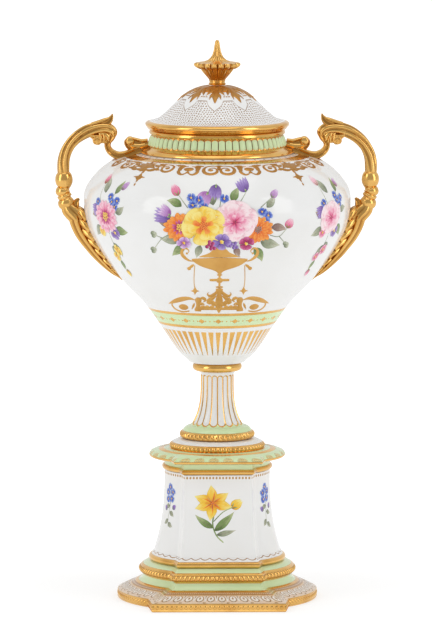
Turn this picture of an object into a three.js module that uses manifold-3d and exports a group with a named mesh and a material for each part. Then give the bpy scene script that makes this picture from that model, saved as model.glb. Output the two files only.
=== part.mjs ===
// A lidded porcelain vase with two scrolled handles, standing on its own pedestal.
// Millimetres, +Z up, with the origin on the table under the middle of the pedestal.
// The front looks along -Y and the handles lie along X.
//
// The bowl, its fluted stem and the pedestal are separate castings that one tie rod clamps together.
// The pedestal is round in plan, with a squared panel at the front and the back.
import * as THREE from "three";
import { mergeVertices } from "three/addons/utils/BufferGeometryUtils.js";
import Module from "manifold-3d";

const wasm = await Module();
wasm.setup();

// Joints between pieces
const slipJoint = 0.3; // between two castings that are stuck or clamped together
const seatGap = 0.2; // between the faces of the clamping hardware
const coverSeat = 0.3; // between the cover and the neck that it rests on
const coverClearance = 0.9; // round the flange of the cover

// Pedestal base, from the table up. A panel is half the width of a tier's squared front, and a reach is how
// far that front stands from the axis.
const pedestalWall = 4.4;
const plinthRadius = 65.0;
const plinthPanel = 44.4;
const plinthReach = 66.8;
const plinthEdge = 5.8; // the upright gilt edge
const plinthRounding = 1.1;
const slopeRise = 5.4; // the patterned slope above the edge
const scotiaRadius = 52.6; // the hollow moulding, at its foot
const scotiaPanel = 32.4;
const scotiaReach = 52.4;
const scotiaRise = 4.5;
const torusRadius = 51.0; // the beaded round moulding
const torusPanel = 30.2;
const torusReach = 50.2;
const torusRise = 6.6;
const torusBulge = 2.6;
const ledgeRise = 3.4; // the green slope above it
const beadRadius = 44.4; // the plain round moulding at the foot of the die
const beadPanel = 28.1;
const beadReach = 43.0;
const beadRise = 5.3;
const beadBulge = 2.0;

// Pedestal die, the white waist that flares at its foot
const dieRise = 52.6;
const dieFootRadius = 41.0;
const dieFootPanel = 26.4;
const dieFootReach = 39.6;
const dieTopRadius = 34.3;
const dieTopPanel = 24.0;
const dieTopReach = 33.8;
const dieFlare = 2.6; // how quickly the foot flare dies out

// Pedestal cap
const filletRise = 3.3; // the gilt bead under the hollow moulding
const filletBulge = 1.5;
const coveRise = 4.8;
const eaveRadius = 38.6; // the hollow moulding, at its top
const eavePanel = 26.2;
const eaveReach = 38.4;
const coronaRadius = 43.6; // the edge of the cap
const coronaPanel = 29.2;
const coronaReach = 43.8;
const coronaRise = 3.2;
const coronaSlope = 2.0;
const discRadius = 36.4; // the round step on the cap
const drumRadius = 32.9; // the gilt ring on the step
const drumRise = 4.4;
const drumBulge = 2.0;
const drumCrown = 2.0; // the white top rises this much towards the stem
const crownRadius = 24.2;
const capPlate = 6.0; // thickness of the plate that the tie rod clamps

// Stem and its round foot
const ropeRadius = 23.6;
const ropeRise = 4.9;
const ropeBulge = 2.3;
const bandRise = 3.3; // the green band above the rope moulding
const bandRadius = 19.4;
const stemRadius = 10.5; // at the waist
const stemTaper = 2.6; // what the shaft widens steadily towards its foot
const stemFlare = 5.2; // what the foot flare adds
const stemRise = 31.0;
const stemHead = 11.6; // radius of the plain neck above the flutes
const stemHeadRise = 4.6;
const fluteCount = 18;
const fluteDepth = 0.9;
const knopRadius = 16.0; // the gilt ring under the bowl
const knopRise = 5.4;
const knopBulge = 2.6;
const stemWall = 4.4;

// Bowl
const bowlRadius = 86.6;
const bowlRise = 135.9;
const bowlWall = 4.2;
const bowlFloor = 6.0;
const bowlFloorRadius = 14.0; // the flat that the gasket lies on

// Neck collar, the reeded ring that the cover sits on
const neckBore = 38.4; // radius of the opening
const collarRadius = 49.2; // at its foot
const collarFootRise = 3.6;
const reedFootRadius = 44.2;
const reedTopRadius = 42.0;
const reedRise = 8.0;
const reedCount = 60;
const reedDepth = 0.6;
const lipRadius = 43.9;
const lipRise = 3.2;

// Cover and finial
const rimRadius = 46.5;
const rimRise = 5.2;
const domeRadius = 37.4; // where the dome starts inside the rim
const domeRise = 22.9;
const coverWall = 3.6;
const flangeDrop = 7.0; // how far the flange drops into the neck
const finialNeck = 5.3;
const finialCupRise = 12.0; // from the cover up to the whorl
const whorlRadius = 15.1;
const whorlRise = 4.2;
const spireRadius = 5.1;
const spireRise = 12.8;
const lobeCount = 12;
const lobeDepth = 1.5;

// Handles
const armGap = 9.5; // from the widest part of the bowl to the arm
const armWidth = 6.4; // seen from the front
const armDepth = 8.0; // from front to back
const armRise = 48.4; // from the widest part of the bowl up to the arm's middle line at the top
const armReach = 35.4; // from the knops in to the arm's curled nose
const armDrop = 30.4; // from the arm's middle line at the top down to its lower end
const earRise = 11.4; // the pointed ear above the arm's middle line
const voluteRadius = 3.4; // the small volute under the arm
const knopLift = 15.4; // from the widest part of the bowl up to the middle of the larger knop
const knopWidth = 11.6;
const knopDrop = 22.6; // from the middle of the larger knop down to the head of the leaf
const knopLean = 8.4; // how far the knops lean in over that drop
const leafHead = 8.0; // from the widest part of the bowl down to where the leaf lies against it
const leafTip = 48.6; // from the widest part of the bowl down to the tip of the leaf
const leafWidth = 15.0; // from edge to edge, across the bowl
const leafDepth = 9.2; // from the bowl's surface out to the leaf's ridge, at its head
const leafTipDepth = 0.4;
const leafTipWidth = 1.6;
const scrollStep = 12.0; // from the collar out to where the scroll sits on the shoulder
const scrollWidth = 4.8;
const tongueReach = 9.4; // from the collar's foot out to the tip of the curled tongue
const tongueRise = 3.6;

// Tie rod and its hardware, metric M6
const rodRadius = 3.0;
const rodHole = 3.6; // radius of the holes in the castings
const nutBore = 3.2;
const nutFlats = 10.0;
const nutRise = 5.0;
const washerRadius = 9.0;
const washerThickness = 1.5;
const gasketRadius = 11.0;
const gasketThickness = 1.6;
const rodProud = 3.0; // rod beyond each nut

// Fineness
const latheSteps = 36;
const leafLobes = 8; // stations along the handle's leaf
const arcSteps = 10; // round side of the pedestal plan
const panelSteps = 4; // squared side of the pedestal plan

// Heights that follow from the sizes above
const slopeTop = plinthEdge + slopeRise;
const torusZ = slopeTop + scotiaRise;
const torusTop = torusZ + torusRise;
const beadZ = torusTop + ledgeRise;
const baseTop = beadZ + beadRise;
const dieZ = baseTop + slipJoint;
const dieTop = dieZ + dieRise;
const capZ = dieTop + slipJoint;
const coveZ = capZ + filletRise;
const coronaZ = coveZ + coveRise;
const coronaTop = coronaZ + coronaRise;
const drumZ = coronaTop + coronaSlope;
const drumTop = drumZ + drumRise;
const capTop = drumTop + drumCrown;
const plateZ = capTop - capPlate;
const stemZ = capTop + slipJoint;
const fluteZ = stemZ + ropeRise + bandRise;
const fluteTop = fluteZ + stemRise;
const knopZ = fluteTop + stemHeadRise;
const stemTop = knopZ + knopRise;
const bowlZ = stemTop + slipJoint;
const bowlTop = bowlZ + bowlRise;
const collarZ = bowlTop + slipJoint;
const reedZ = collarZ + collarFootRise;
const lipZ = reedZ + reedRise;
const collarTop = lipZ + lipRise;
const coverZ = collarTop + coverSeat;
const rimTop = coverZ + rimRise;
const coverTop = rimTop + domeRise;
const finialZ = coverTop + slipJoint;
const whorlZ = finialZ + finialCupRise;
const spireZ = whorlZ + whorlRise;

// The tiers of the pedestal's plan
const plinth = { radius: plinthRadius, panel: plinthPanel, reach: plinthReach };
const scotia = { radius: scotiaRadius, panel: scotiaPanel, reach: scotiaReach };
const torus = { radius: torusRadius, panel: torusPanel, reach: torusReach };
const bead = { radius: beadRadius, panel: beadPanel, reach: beadReach };
const dieFoot = { radius: dieFootRadius, panel: dieFootPanel, reach: dieFootReach };
const dieHead = { radius: dieTopRadius, panel: dieTopPanel, reach: dieTopReach };
const eave = { radius: eaveRadius, panel: eavePanel, reach: eaveReach };
const corona = { radius: coronaRadius, panel: coronaPanel, reach: coronaReach };

// Makes a closed surface through rings of points. Each ring runs anticlockwise seen from where the rings
// are heading, and a ring of one point is a pole. A looped skin joins its last ring to its first.
function skin(rings, looped = false) {
  const positions = [];
  const starts = rings.map((ring) => {
    const start = positions.length / 3;
    ring.forEach((p) => positions.push(...p));
    return start;
  });
  const faces = [];
  const count = Math.max(...rings.map((ring) => ring.length));
  const pairs = looped ? rings.length : rings.length - 1;
  for (let i = 0; i < pairs; i++) {
    const next = (i + 1) % rings.length;
    const [low, high] = [rings[i].length > 1, rings[next].length > 1];
    for (let j = 0; j < count; j++) {
      const k = (j + 1) % count;
      const a = starts[i] + (low ? j : 0);
      const b = starts[i] + (low ? k : 0);
      const c = starts[next] + (high ? k : 0);
      const d = starts[next] + (high ? j : 0);
      if (low) faces.push(a, b, c);
      if (high) faces.push(a, c, d);
    }
  }
  const geometry = new THREE.BufferGeometry();
  geometry.setAttribute("position", new THREE.Float32BufferAttribute(positions, 3));
  geometry.setIndex(faces);
  return geometry;
}

// A profile of [radius, height] pairs, turned round the vertical axis. It closes on itself or at the axis.
function turned(profile, steps = latheSteps) {
  const points = profile.map(([r, z]) => new THREE.Vector2(r, z));
  const onAxis = profile[0][0] === 0 && profile.at(-1)[0] === 0;
  if (!onAxis) points.push(points[0].clone());
  return new THREE.LatheGeometry(points, steps).rotateX(Math.PI / 2);
}

// A smooth outline through [radius, height] pairs.
function curved(points, steps) {
  const curve = new THREE.SplineCurve(points.map((p) => new THREE.Vector2(...p)));
  return curve.getSpacedPoints(steps).map((p) => [p.x, p.y]);
}

// A round moulding as [radius, height] pairs: it bulges from radius - bulge to radius.
function halfRound(radius, bulge, low, high, steps) {
  return Array.from({ length: steps + 1 }, (_, i) => {
    const angle = THREE.MathUtils.degToRad(-80 + (160 * i) / steps);
    return [radius - bulge + bulge * Math.cos(angle), (low + high + (high - low) * Math.sin(angle)) / 2];
  });
}

// An outline moved sideways: a positive distance moves it to the right of its own direction.
function offset(profile, distance) {
  return profile.map(([r, z], i) => {
    const before = profile[Math.max(i - 1, 0)];
    const after = profile[Math.min(i + 1, profile.length - 1)];
    const run = new THREE.Vector2(after[0] - before[0], after[1] - before[1]).normalize();
    return [r + run.y * distance, z - run.x * distance];
  });
}

function solidOf(geometry) {
  const bare = new THREE.BufferGeometry();
  bare.setAttribute("position", geometry.getAttribute("position").clone());
  if (geometry.index) bare.setIndex(geometry.index.clone());
  const merged = mergeVertices(bare, 1e-4);
  const mesh = { numProp: 3 };
  mesh.vertProperties = new Float32Array(merged.attributes.position.array);
  mesh.triVerts = new Uint32Array(merged.index.array);
  return new wasm.Manifold(new wasm.Mesh(mesh));
}

function geometryOf(solid) {
  const mesh = solid.getMesh();
  const geometry = new THREE.BufferGeometry();
  geometry.setAttribute("position", new THREE.BufferAttribute(mesh.vertProperties, 3));
  geometry.setIndex(new THREE.BufferAttribute(mesh.triVerts, 1));
  return geometry;
}

// One ring of the pedestal at a height, drawn in from its tier. The ring is round at the sides and squared
// at the back and the front. A tier with no panel is a plain circle with as many points.
function planRing(tier, z, inset = 0) {
  const radius = tier.radius - inset;
  const squared = tier.panel !== undefined;
  const corner = Math.acos(squared ? (tier.panel - inset) / radius : coronaPanel / coronaRadius);
  const ring = [];
  for (const turn of [0, Math.PI]) {
    for (let i = 0; i <= arcSteps; i++) {
      const angle = turn - corner + (2 * corner * i) / arcSteps;
      ring.push([radius * Math.cos(angle), radius * Math.sin(angle), z]);
    }
    const side = Math.cos(turn);
    for (let i = 0; i <= panelSteps; i++) {
      if (squared) {
        const across = (tier.panel - inset) * (1 - (2 * i) / panelSteps);
        ring.push([side * across, side * (tier.reach - inset), z]);
      } else {
        const angle = turn + corner + ((Math.PI - 2 * corner) * (i + 0.5)) / (panelSteps + 1);
        ring.push([radius * Math.cos(angle), radius * Math.sin(angle), z]);
      }
    }
  }
  return ring;
}

// A piece of the pedestal from rows of [tier, height, inset], up its outside and down its inside.
function pedestalPiece(rows) {
  return skin(rows.map((row) => planRing(...row)), true);
}

// A tier part way between two others.
function between(low, high, share) {
  const mix = (key) => low[key] + (high[key] - low[key]) * share;
  return { radius: mix("radius"), panel: mix("panel"), reach: mix("reach") };
}

// A tier drawn in on all sides.
function drawnIn(tier, inset) {
  return { radius: tier.radius - inset, panel: tier.panel - inset, reach: tier.reach - inset };
}

// A round moulding on the pedestal's plan.
function roll(tier, bulge, low, high, steps) {
  return halfRound(0, bulge, low, high, steps).map(([inset, z]) => [tier, z, -inset]);
}

// A hollow quarter-round on the plan, upright where it is narrow and level where it is wide.
function cove(low, high, lowZ, highZ, steps) {
  return Array.from({ length: steps + 1 }, (_, i) => {
    const angle = ((Math.PI / 2) * i) / steps;
    const narrowing = low.radius > high.radius;
    const across = narrowing ? Math.sin(angle) : 1 - Math.cos(angle);
    const up = narrowing ? 1 - Math.cos(angle) : Math.sin(angle);
    return [between(low, high, across), lowZ + (highZ - lowZ) * up];
  });
}

function pedestalBase() {
  const waist = drawnIn(torus, torusBulge);
  return pedestalPiece([
    [plinth, 0, plinthRounding],
    [plinth, plinthRounding],
    [plinth, plinthEdge - plinthRounding],
    [plinth, plinthEdge, plinthRounding],
    ...cove(scotia, waist, slopeTop, torusZ, 2),
    ...roll(torus, torusBulge, torusZ, torusTop, 4),
    ...roll(bead, beadBulge, beadZ, baseTop, 3),
    [dieFoot, baseTop],
    [dieFoot, baseTop, pedestalWall],
    [bead, beadZ, pedestalWall + beadBulge],
    [waist, torusZ, pedestalWall],
    [plinth, plinthEdge - plinthRounding, pedestalWall + plinthRounding],
    [plinth, 0, pedestalWall + plinthRounding],
  ]);
}

function pedestalDie() {
  const row = (share, inset) => {
    const flare = (1 - share) ** dieFlare;
    return [between(dieHead, dieFoot, flare), dieZ + dieRise * share, inset];
  };
  const outside = [0, 0.06, 0.15, 0.28, 0.5, 1].map((share) => row(share, 0));
  const inside = [1, 0.5, 0.2, 0].map((share) => row(share, pedestalWall));
  return pedestalPiece([...outside, ...inside]);
}

function pedestalCap() {
  const fillet = drawnIn(dieHead, -filletBulge);
  const crown = { radius: crownRadius };
  const plateRadius = dieTopRadius - pedestalWall;
  return pedestalPiece([
    ...roll(fillet, filletBulge, capZ, coveZ, 3),
    ...cove(dieHead, eave, coveZ, coronaZ, 3),
    [corona, coronaZ, 0.9],
    [corona, coronaZ + coronaRise * 0.5],
    [corona, coronaTop, 0.7],
    [{ radius: discRadius }, drumZ],
    ...halfRound(drumRadius, drumBulge, drumZ, drumTop, 3).map(([radius, z]) => [{ radius }, z]),
    [crown, capTop],
    [{ radius: rodHole }, capTop],
    [{ radius: rodHole }, plateZ],
    [{ radius: plateRadius - 1 }, plateZ],
    [dieHead, coveZ, pedestalWall],
    [dieHead, capZ, pedestalWall],
  ]);
}

// A round ring with as many points as the flutes or reeds need: every second point moves in by the depth.
function fluted(radius, z, count, depth = 0) {
  return Array.from({ length: 2 * count }, (_, i) => {
    const angle = (Math.PI * i) / count;
    const r = radius - (i % 2) * depth;
    return [r * Math.cos(angle), r * Math.sin(angle), z];
  });
}

function stem() {
  const ring = (r, z, depth) => fluted(r, z, fluteCount, depth);
  const moulding = (r, bulge, low, high) => halfRound(r, bulge, low, high, 3).map(([x, z]) => ring(x, z));
  const shaft = [0.02, 0.07, 0.15, 0.3, 0.6, 0.94].map((share) => {
    const radius = stemRadius + stemTaper * (1 - share) + stemFlare * (1 - share) ** 8;
    return ring(radius, fluteZ + stemRise * share, fluteDepth);
  });
  return skin(
    [
      ...moulding(ropeRadius, ropeBulge, stemZ, stemZ + ropeRise),
      ring(bandRadius, fluteZ - bandRise * 0.25),
      ...shaft,
      ring(stemHead, fluteTop),
      ring(stemHead, knopZ),
      ...moulding(knopRadius, knopBulge, knopZ, stemTop),
      ring(rodHole, stemTop),
      ring(rodHole, fluteTop),
      ring(stemRadius - stemWall, fluteZ + stemRise * 0.5),
      ring(bandRadius - stemWall, fluteZ),
      ring(ropeRadius - ropeBulge - stemWall, stemZ),
    ],
    true,
  );
}

// The bowl's outside from its foot to its mouth, as shares of its widest radius and of its height.
const bowlShape = [
  [0.204, 0],
  [0.297, 0.057],
  [0.419, 0.172],
  [0.55, 0.288],
  [0.709, 0.394],
  [0.856, 0.52],
  [0.946, 0.618],
  [1.0, 0.757],
  [0.977, 0.81],
  [0.888, 0.897],
  [0.757, 0.958],
  [0.62, 0.989],
  [0.55, 1],
];
const bowlOutside = curved(bowlShape.map(([r, z]) => [r * bowlRadius, bowlZ + z * bowlRise]), 16);
const bowlWidest = bowlOutside.reduce((best, p) => (p[0] > best[0] ? p : best))[1];

// The radius of the bowl at a height below its widest part, and the height of its shoulder at a radius.
function bowlRadiusAt(z) {
  const i = bowlOutside.findIndex((p) => p[1] >= z);
  const [a, b] = [bowlOutside[i - 1], bowlOutside[i]];
  return a[0] + ((b[0] - a[0]) * (z - a[1])) / (b[1] - a[1]);
}
function shoulderAt(r) {
  const i = bowlOutside.findIndex((p) => p[1] > bowlWidest && p[0] <= r);
  const [a, b] = [bowlOutside[i - 1], bowlOutside[i]];
  return a[1] + ((b[1] - a[1]) * (r - a[0])) / (b[0] - a[0]);
}

function bowl() {
  const inside = offset(bowlOutside, -bowlWall)
    .filter(([r, z]) => z > bowlZ + bowlFloor * 1.2 && r > neckBore * 1.03)
    .filter((_, i) => i % 2 === 0);
  return turned([
    [rodHole, bowlZ],
    ...bowlOutside,
    [neckBore, bowlTop],
    [neckBore, bowlTop - bowlWall],
    ...inside.reverse(),
    [bowlFloorRadius, bowlZ + bowlFloor],
    [rodHole, bowlZ + bowlFloor],
  ]);
}

function neckCollar() {
  const ring = (r, z, depth) => fluted(r, z, reedCount, depth);
  return skin(
    [
      ring(collarRadius, collarZ),
      ring(reedFootRadius + 1.2, reedZ - 0.4),
      ring(reedFootRadius, reedZ, reedDepth),
      ring(reedTopRadius, lipZ, reedDepth),
      ring(lipRadius, lipZ + 0.6),
      ring(lipRadius - 0.5, collarTop),
      ring(neckBore, collarTop),
      ring(neckBore, collarZ),
    ],
    true,
  );
}

function cover() {
  const flangeRadius = neckBore - coverClearance;
  const boreRadius = flangeRadius - coverWall;
  const flangeFoot = coverZ - flangeDrop;
  const domeShape = [
    [1, 0],
    [0.86, 0.22],
    [0.67, 0.54],
    [0.46, 0.82],
    [0.18, 0.97],
  ];
  const dome = curved(domeShape.map(([r, z]) => [r * domeRadius, rimTop + z * domeRise]), 9);
  const inside = offset(dome, -coverWall)
    .filter(([r]) => r < boreRadius && r > finialNeck)
    .filter((_, i) => i % 2 === 0);
  return turned([
    [0, coverTop - coverWall - 1],
    ...inside.reverse(),
    [boreRadius, coverZ + 1],
    [boreRadius, flangeFoot],
    [flangeRadius, flangeFoot],
    [flangeRadius, coverZ],
    [rimRadius - 2.4, coverZ],
    [rimRadius - 0.5, coverZ + rimRise * 0.45],
    [rimRadius, coverZ + rimRise * 0.75],
    [rimRadius - 0.8, rimTop - 0.3],
    ...dome,
    [0, coverTop],
  ]);
}

// The finial: a fluted cup, a whorl of rounded lobes and a fluted spire. A row is radius, height and how
// deeply it is lobed.
function finial() {
  const rows = [
    [finialNeck, finialZ, 0],
    [finialNeck + 0.4, finialZ + 1.3, 0],
    [finialNeck - 0.4, finialZ + 2.6, 0],
    [finialNeck + 1.2, finialZ + finialCupRise * 0.4, 0.2],
    [whorlRadius * 0.56, finialZ + finialCupRise * 0.78, 0.5],
    [whorlRadius * 0.72, whorlZ - 0.8, 0.8],
    [whorlRadius * 0.94, whorlZ, 1],
    [whorlRadius, whorlZ + whorlRise * 0.4, 1],
    [whorlRadius * 0.9, whorlZ + whorlRise * 0.85, 1],
    [whorlRadius * 0.6, spireZ, 0.6],
    [spireRadius, spireZ + spireRise * 0.12, 0.4],
    [spireRadius * 0.62, spireZ + spireRise * 0.4, 0.3],
    [spireRadius * 0.34, spireZ + spireRise * 0.75, 0.15],
    [spireRadius * 0.2, spireZ + spireRise * 0.97, 0],
  ];
  const rings = rows.map(([radius, z, lobing]) => {
    const ring = [];
    for (let i = 0; i < 3 * lobeCount; i++) {
      const angle = (2 * Math.PI * i) / (3 * lobeCount) - Math.PI / 2;
      const r = radius - (i % 3 === 0 ? lobeDepth * lobing : 0);
      ring.push([r * Math.cos(angle), r * Math.sin(angle), z]);
    }
    return ring;
  });
  return skin([[[0, 0, finialZ]], ...rings, [[0, 0, spireZ + spireRise]]]);
}

// A bar swept along a path in the plane of the handle, smooth between its stations. A station is radius,
// height, half the width in that plane and half the depth from front to back.
function swept(stations, steps, sides = 8) {
  const path = new THREE.CatmullRomCurve3(stations.map(([r, z]) => new THREE.Vector3(r, 0, z)));
  const girth = new THREE.CatmullRomCurve3(stations.map((s) => new THREE.Vector3(s[2], s[3], 0)));
  const rings = Array.from({ length: steps + 1 }, (_, i) => {
    const centre = path.getPoint(i / steps);
    const across = new THREE.Vector3(0, 1, 0).cross(path.getTangent(i / steps)).normalize();
    const half = girth.getPoint(i / steps);
    return Array.from({ length: sides }, (_, j) => {
      const angle = (2 * Math.PI * (j + 0.5)) / sides;
      const point = centre.clone().addScaledVector(across, half.x * Math.cos(angle));
      return [point.x, half.y * Math.sin(angle), point.z];
    });
  });
  const ends = [0, 1].map((t) => [path.getPoint(t).toArray()]);
  return solidOf(skin([ends[0], ...rings, ends[1]]));
}

// The stations of a swept bar from rows of shares: how far in along a reach, how far down a drop, and the
// two half widths as shares of a width and a depth.
function stationsOf(rows, out, up, reach, drop, width, depth) {
  return rows.map(([inward, down, wide, deep]) => {
    return [out - reach * inward, up - drop * down, (width / 2) * wide, (depth / 2) * deep];
  });
}

// The arched arm, from its curled nose over the shoulder down to the knops.
function handleArm(out, up) {
  const rows = [
    [1.0, 0.092, 0.69, 0.65],
    [0.887, 0.053, 1.22, 1],
    [0.712, 0.026, 1.44, 1.1],
    [0.525, 0, 1.28, 1.05],
    [0.359, 0.072, 1.13, 1],
    [0.209, 0.237, 1.03, 1],
    [0.113, 0.421, 1, 1],
    [0.04, 0.638, 1, 1],
    [0, 0.868, 1, 1],
    [0, 1, 1, 1],
  ];
  return swept(stationsOf(rows, out, up, armReach, armDrop, armWidth, armDepth), 13);
}

// Two knops with a ring between them, and below them the swelling head of the leaf.
function handleKnops(out, up) {
  const rows = [
    [0, -0.159, 0.6, 0.65],
    [0, -0.106, 0.9, 0.92],
    [0, 0, 1, 1],
    [0.024, 0.124, 0.84, 0.86],
    [0.06, 0.208, 0.66, 0.68],
    [0.095, 0.292, 0.8, 0.8],
    [0.143, 0.381, 0.8, 0.8],
    [0.214, 0.46, 0.66, 0.7],
    [0.333, 0.566, 0.88, 0.94],
    [0.476, 0.69, 1, 1.12],
    [0.714, 0.841, 0.96, 1.2],
    [1, 1, 0.84, 1.16],
  ];
  return swept(stationsOf(rows, out, up, knopLean, knopDrop, knopWidth, knopWidth), 22);
}

// The leaf that runs down the bowl to a point, with its edges lobed.
function handleLeaf(out, up) {
  const head = bowlWidest - leafHead;
  const tip = bowlWidest - leafTip;
  const rows = Array.from({ length: leafLobes + 1 }, (_, i) => {
    const share = i / leafLobes;
    const z = head + (tip - head) * share;
    const proud = leafDepth * (1 - share) ** 0.55 + leafTipDepth;
    const lobe = 1 + 0.14 * Math.cos(Math.PI * i);
    const wide = (leafWidth / 2) * (1 - share) ** 0.6 * lobe + leafTipWidth / 2;
    return [bowlRadiusAt(z) + proud / 2, z, proud * 0.45, wide];
  });
  const root = [out - knopLean * 0.857, up - knopDrop * 0.92, knopWidth * 0.44, knopWidth * 0.56];
  return swept([root, ...rows], 16);
}

// The S-scroll that runs from under the arm over the shoulder to the neck collar, and its curled tongue.
function handleScroll(out, up) {
  const seat = collarRadius + scrollStep;
  const seatZ = shoulderAt(seat) + scrollWidth / 2;
  const drop = [
    [0.842, 0.132, 1, 0.85],
    [0.831, 0.289, 0.88, 0.9],
    [0.887, 0.461, 0.88, 0.95],
  ];
  const rise = [
    [-0.342, -0.117, 0.96, 1],
    [0, 0, 1, 1],
    [0.367, -0.142, 1.17, 1],
    [0.783, -0.417, 1.42, 0.95],
  ];
  const collarEnd = [reedFootRadius, reedZ + reedRise * 0.1, scrollWidth * 0.54, armDepth * 0.45];
  const ribbon = swept(
    [
      ...stationsOf(drop, out, up, armReach, armDrop, scrollWidth, armDepth),
      ...stationsOf(rise, seat, seatZ, scrollStep, scrollStep, scrollWidth, armDepth),
      collarEnd,
    ],
    18,
  );
  const curl = [
    [0.255, 0.111, 0.83, 0.75],
    [-0.234, 0, 1.08, 0.85],
    [-0.617, -0.167, 1, 0.8],
    [-0.883, -0.611, 0.58, 0.55],
    [-1, -1, 0.21, 0.25],
  ];
  const tongue = stationsOf(curl, collarRadius, reedZ, tongueReach, tongueRise, scrollWidth, armDepth);
  return ribbon.add(swept(tongue, 8));
}

// The pointed ear on top of the arm and the small volute under it.
function handleOrnaments(out, up) {
  const rows = [
    [0.638, -0.07, 0.87, 0.85],
    [0.791, -0.316, 0.75, 0.7],
    [0.881, -0.632, 0.47, 0.45],
    [0.921, -1, 0.16, 0.15],
  ];
  const ear = swept(stationsOf(rows, out, up, armReach, earRise, armWidth, armDepth), 7);
  const volute = new THREE.CylinderGeometry(voluteRadius, voluteRadius, armDepth * 1.15, 12);
  return ear.add(solidOf(volute.translate(out - armReach * 0.655, 0, up - armDrop * 0.171)));
}

// The bowl and the neck collar, a slip joint larger, that cut the seats of the handle.
function handleSeats() {
  const bowlSeat = offset(bowlOutside, slipJoint);
  const collarSeat = [
    [0, bowlTop - slipJoint],
    [collarRadius + slipJoint, bowlTop - slipJoint],
    [collarRadius + slipJoint, collarZ + slipJoint],
    [reedFootRadius + 1.2 + slipJoint, reedZ],
    [reedFootRadius + slipJoint, reedZ + 0.4],
    [reedTopRadius + slipJoint, lipZ],
    [0, lipZ],
  ];
  const body = turned([[0, bowlZ], ...bowlSeat, [0, bowlTop + slipJoint]]);
  return solidOf(body).add(solidOf(turned(collarSeat)));
}

function handle() {
  const out = bowlRadius + armGap + armWidth / 2;
  const up = bowlWidest + armRise;
  const knopUp = bowlWidest + knopLift;
  const parts = [
    handleKnops(out, knopUp),
    handleLeaf(out, knopUp),
    handleScroll(out, up),
    handleOrnaments(out, up),
  ];
  const joined = parts.reduce((sum, part) => sum.add(part), handleArm(out, up));
  return geometryOf(joined.subtract(handleSeats()));
}

// Tie rod, nuts, washers and gaskets, from the inside of the bowl down to the inside of the pedestal cap
const upperGasketZ = bowlZ + bowlFloor + seatGap;
const upperWasherZ = upperGasketZ + gasketThickness + seatGap;
const upperNutZ = upperWasherZ + washerThickness + seatGap;
const lowerGasketZ = plateZ - seatGap - gasketThickness;
const lowerWasherZ = lowerGasketZ - seatGap - washerThickness;
const lowerNutZ = lowerWasherZ - seatGap - nutRise;

function ringPlate(bore, radius, z, thickness) {
  const profile = [
    [bore, z],
    [radius, z],
    [radius, z + thickness],
    [bore, z + thickness],
  ];
  return turned(profile, 18);
}

function hexNut(z) {
  const corner = nutFlats / 2 / Math.cos(Math.PI / 6);
  const corners = Array.from({ length: 6 }, (_, i) => {
    return new THREE.Vector2(corner, 0).rotateAround(new THREE.Vector2(), (i * Math.PI) / 3);
  });
  const outline = new THREE.Shape(corners);
  outline.holes.push(new THREE.Path().absarc(0, 0, nutBore, 0, 2 * Math.PI, true));
  const options = { depth: nutRise, bevelEnabled: false, curveSegments: 12 };
  return new THREE.ExtrudeGeometry(outline, options).translate(0, 0, z);
}

function tieRod() {
  const foot = lowerNutZ - rodProud;
  const head = upperNutZ + nutRise + rodProud;
  const chamfer = 0.6;
  const profile = [
    [0, foot],
    [rodRadius - chamfer, foot],
    [rodRadius, foot + chamfer],
    [rodRadius, head - chamfer],
    [rodRadius - chamfer, head],
    [0, head],
  ];
  return turned(profile, 16);
}

// The object
const group = new THREE.Group();

function add(name, geometry, color, roughness, metalness = 0) {
  const mesh = new THREE.Mesh(geometry, new THREE.MeshStandardMaterial({ color, roughness, metalness }));
  mesh.name = name;
  group.add(mesh);
  return mesh;
}

const white = 0xf4f2ee;
const green = 0xb9d9a8;
const gilt = 0xc8922e;
add("pedestal_base", pedestalBase(), green, 0.2);
add("pedestal_die", pedestalDie(), white, 0.15);
add("pedestal_cap", pedestalCap(), green, 0.2);
add("stem", stem(), white, 0.15);
add("bowl", bowl(), white, 0.12);
add("neck_collar", neckCollar(), green, 0.2);
add("cover", cover(), white, 0.15);
add("finial", finial(), gilt, 0.3, 1);

const handleGeometry = handle();
add("right_handle", handleGeometry, gilt, 0.3, 1);
add("left_handle", handleGeometry, gilt, 0.3, 1).rotation.z = Math.PI;

const steel = 0x9a9a98;
const cork = 0x9c7448;
add("tie_rod", tieRod(), steel, 0.4, 1);
add("upper_gasket", ringPlate(rodHole, gasketRadius, upperGasketZ, gasketThickness), cork, 0.9);
add("upper_washer", ringPlate(nutBore, washerRadius, upperWasherZ, washerThickness), steel, 0.4, 1);
add("upper_nut", hexNut(upperNutZ), steel, 0.4, 1);
add("lower_gasket", ringPlate(rodHole, gasketRadius, lowerGasketZ, gasketThickness), cork, 0.9);
add("lower_washer", ringPlate(nutBore, washerRadius, lowerWasherZ, washerThickness), steel, 0.4, 1);
add("lower_nut", hexNut(lowerNutZ), steel, 0.4, 1);

export default group;
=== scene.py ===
import functools
import math
import random

import bmesh
import bpy
from mathutils import Matrix, Vector


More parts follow.
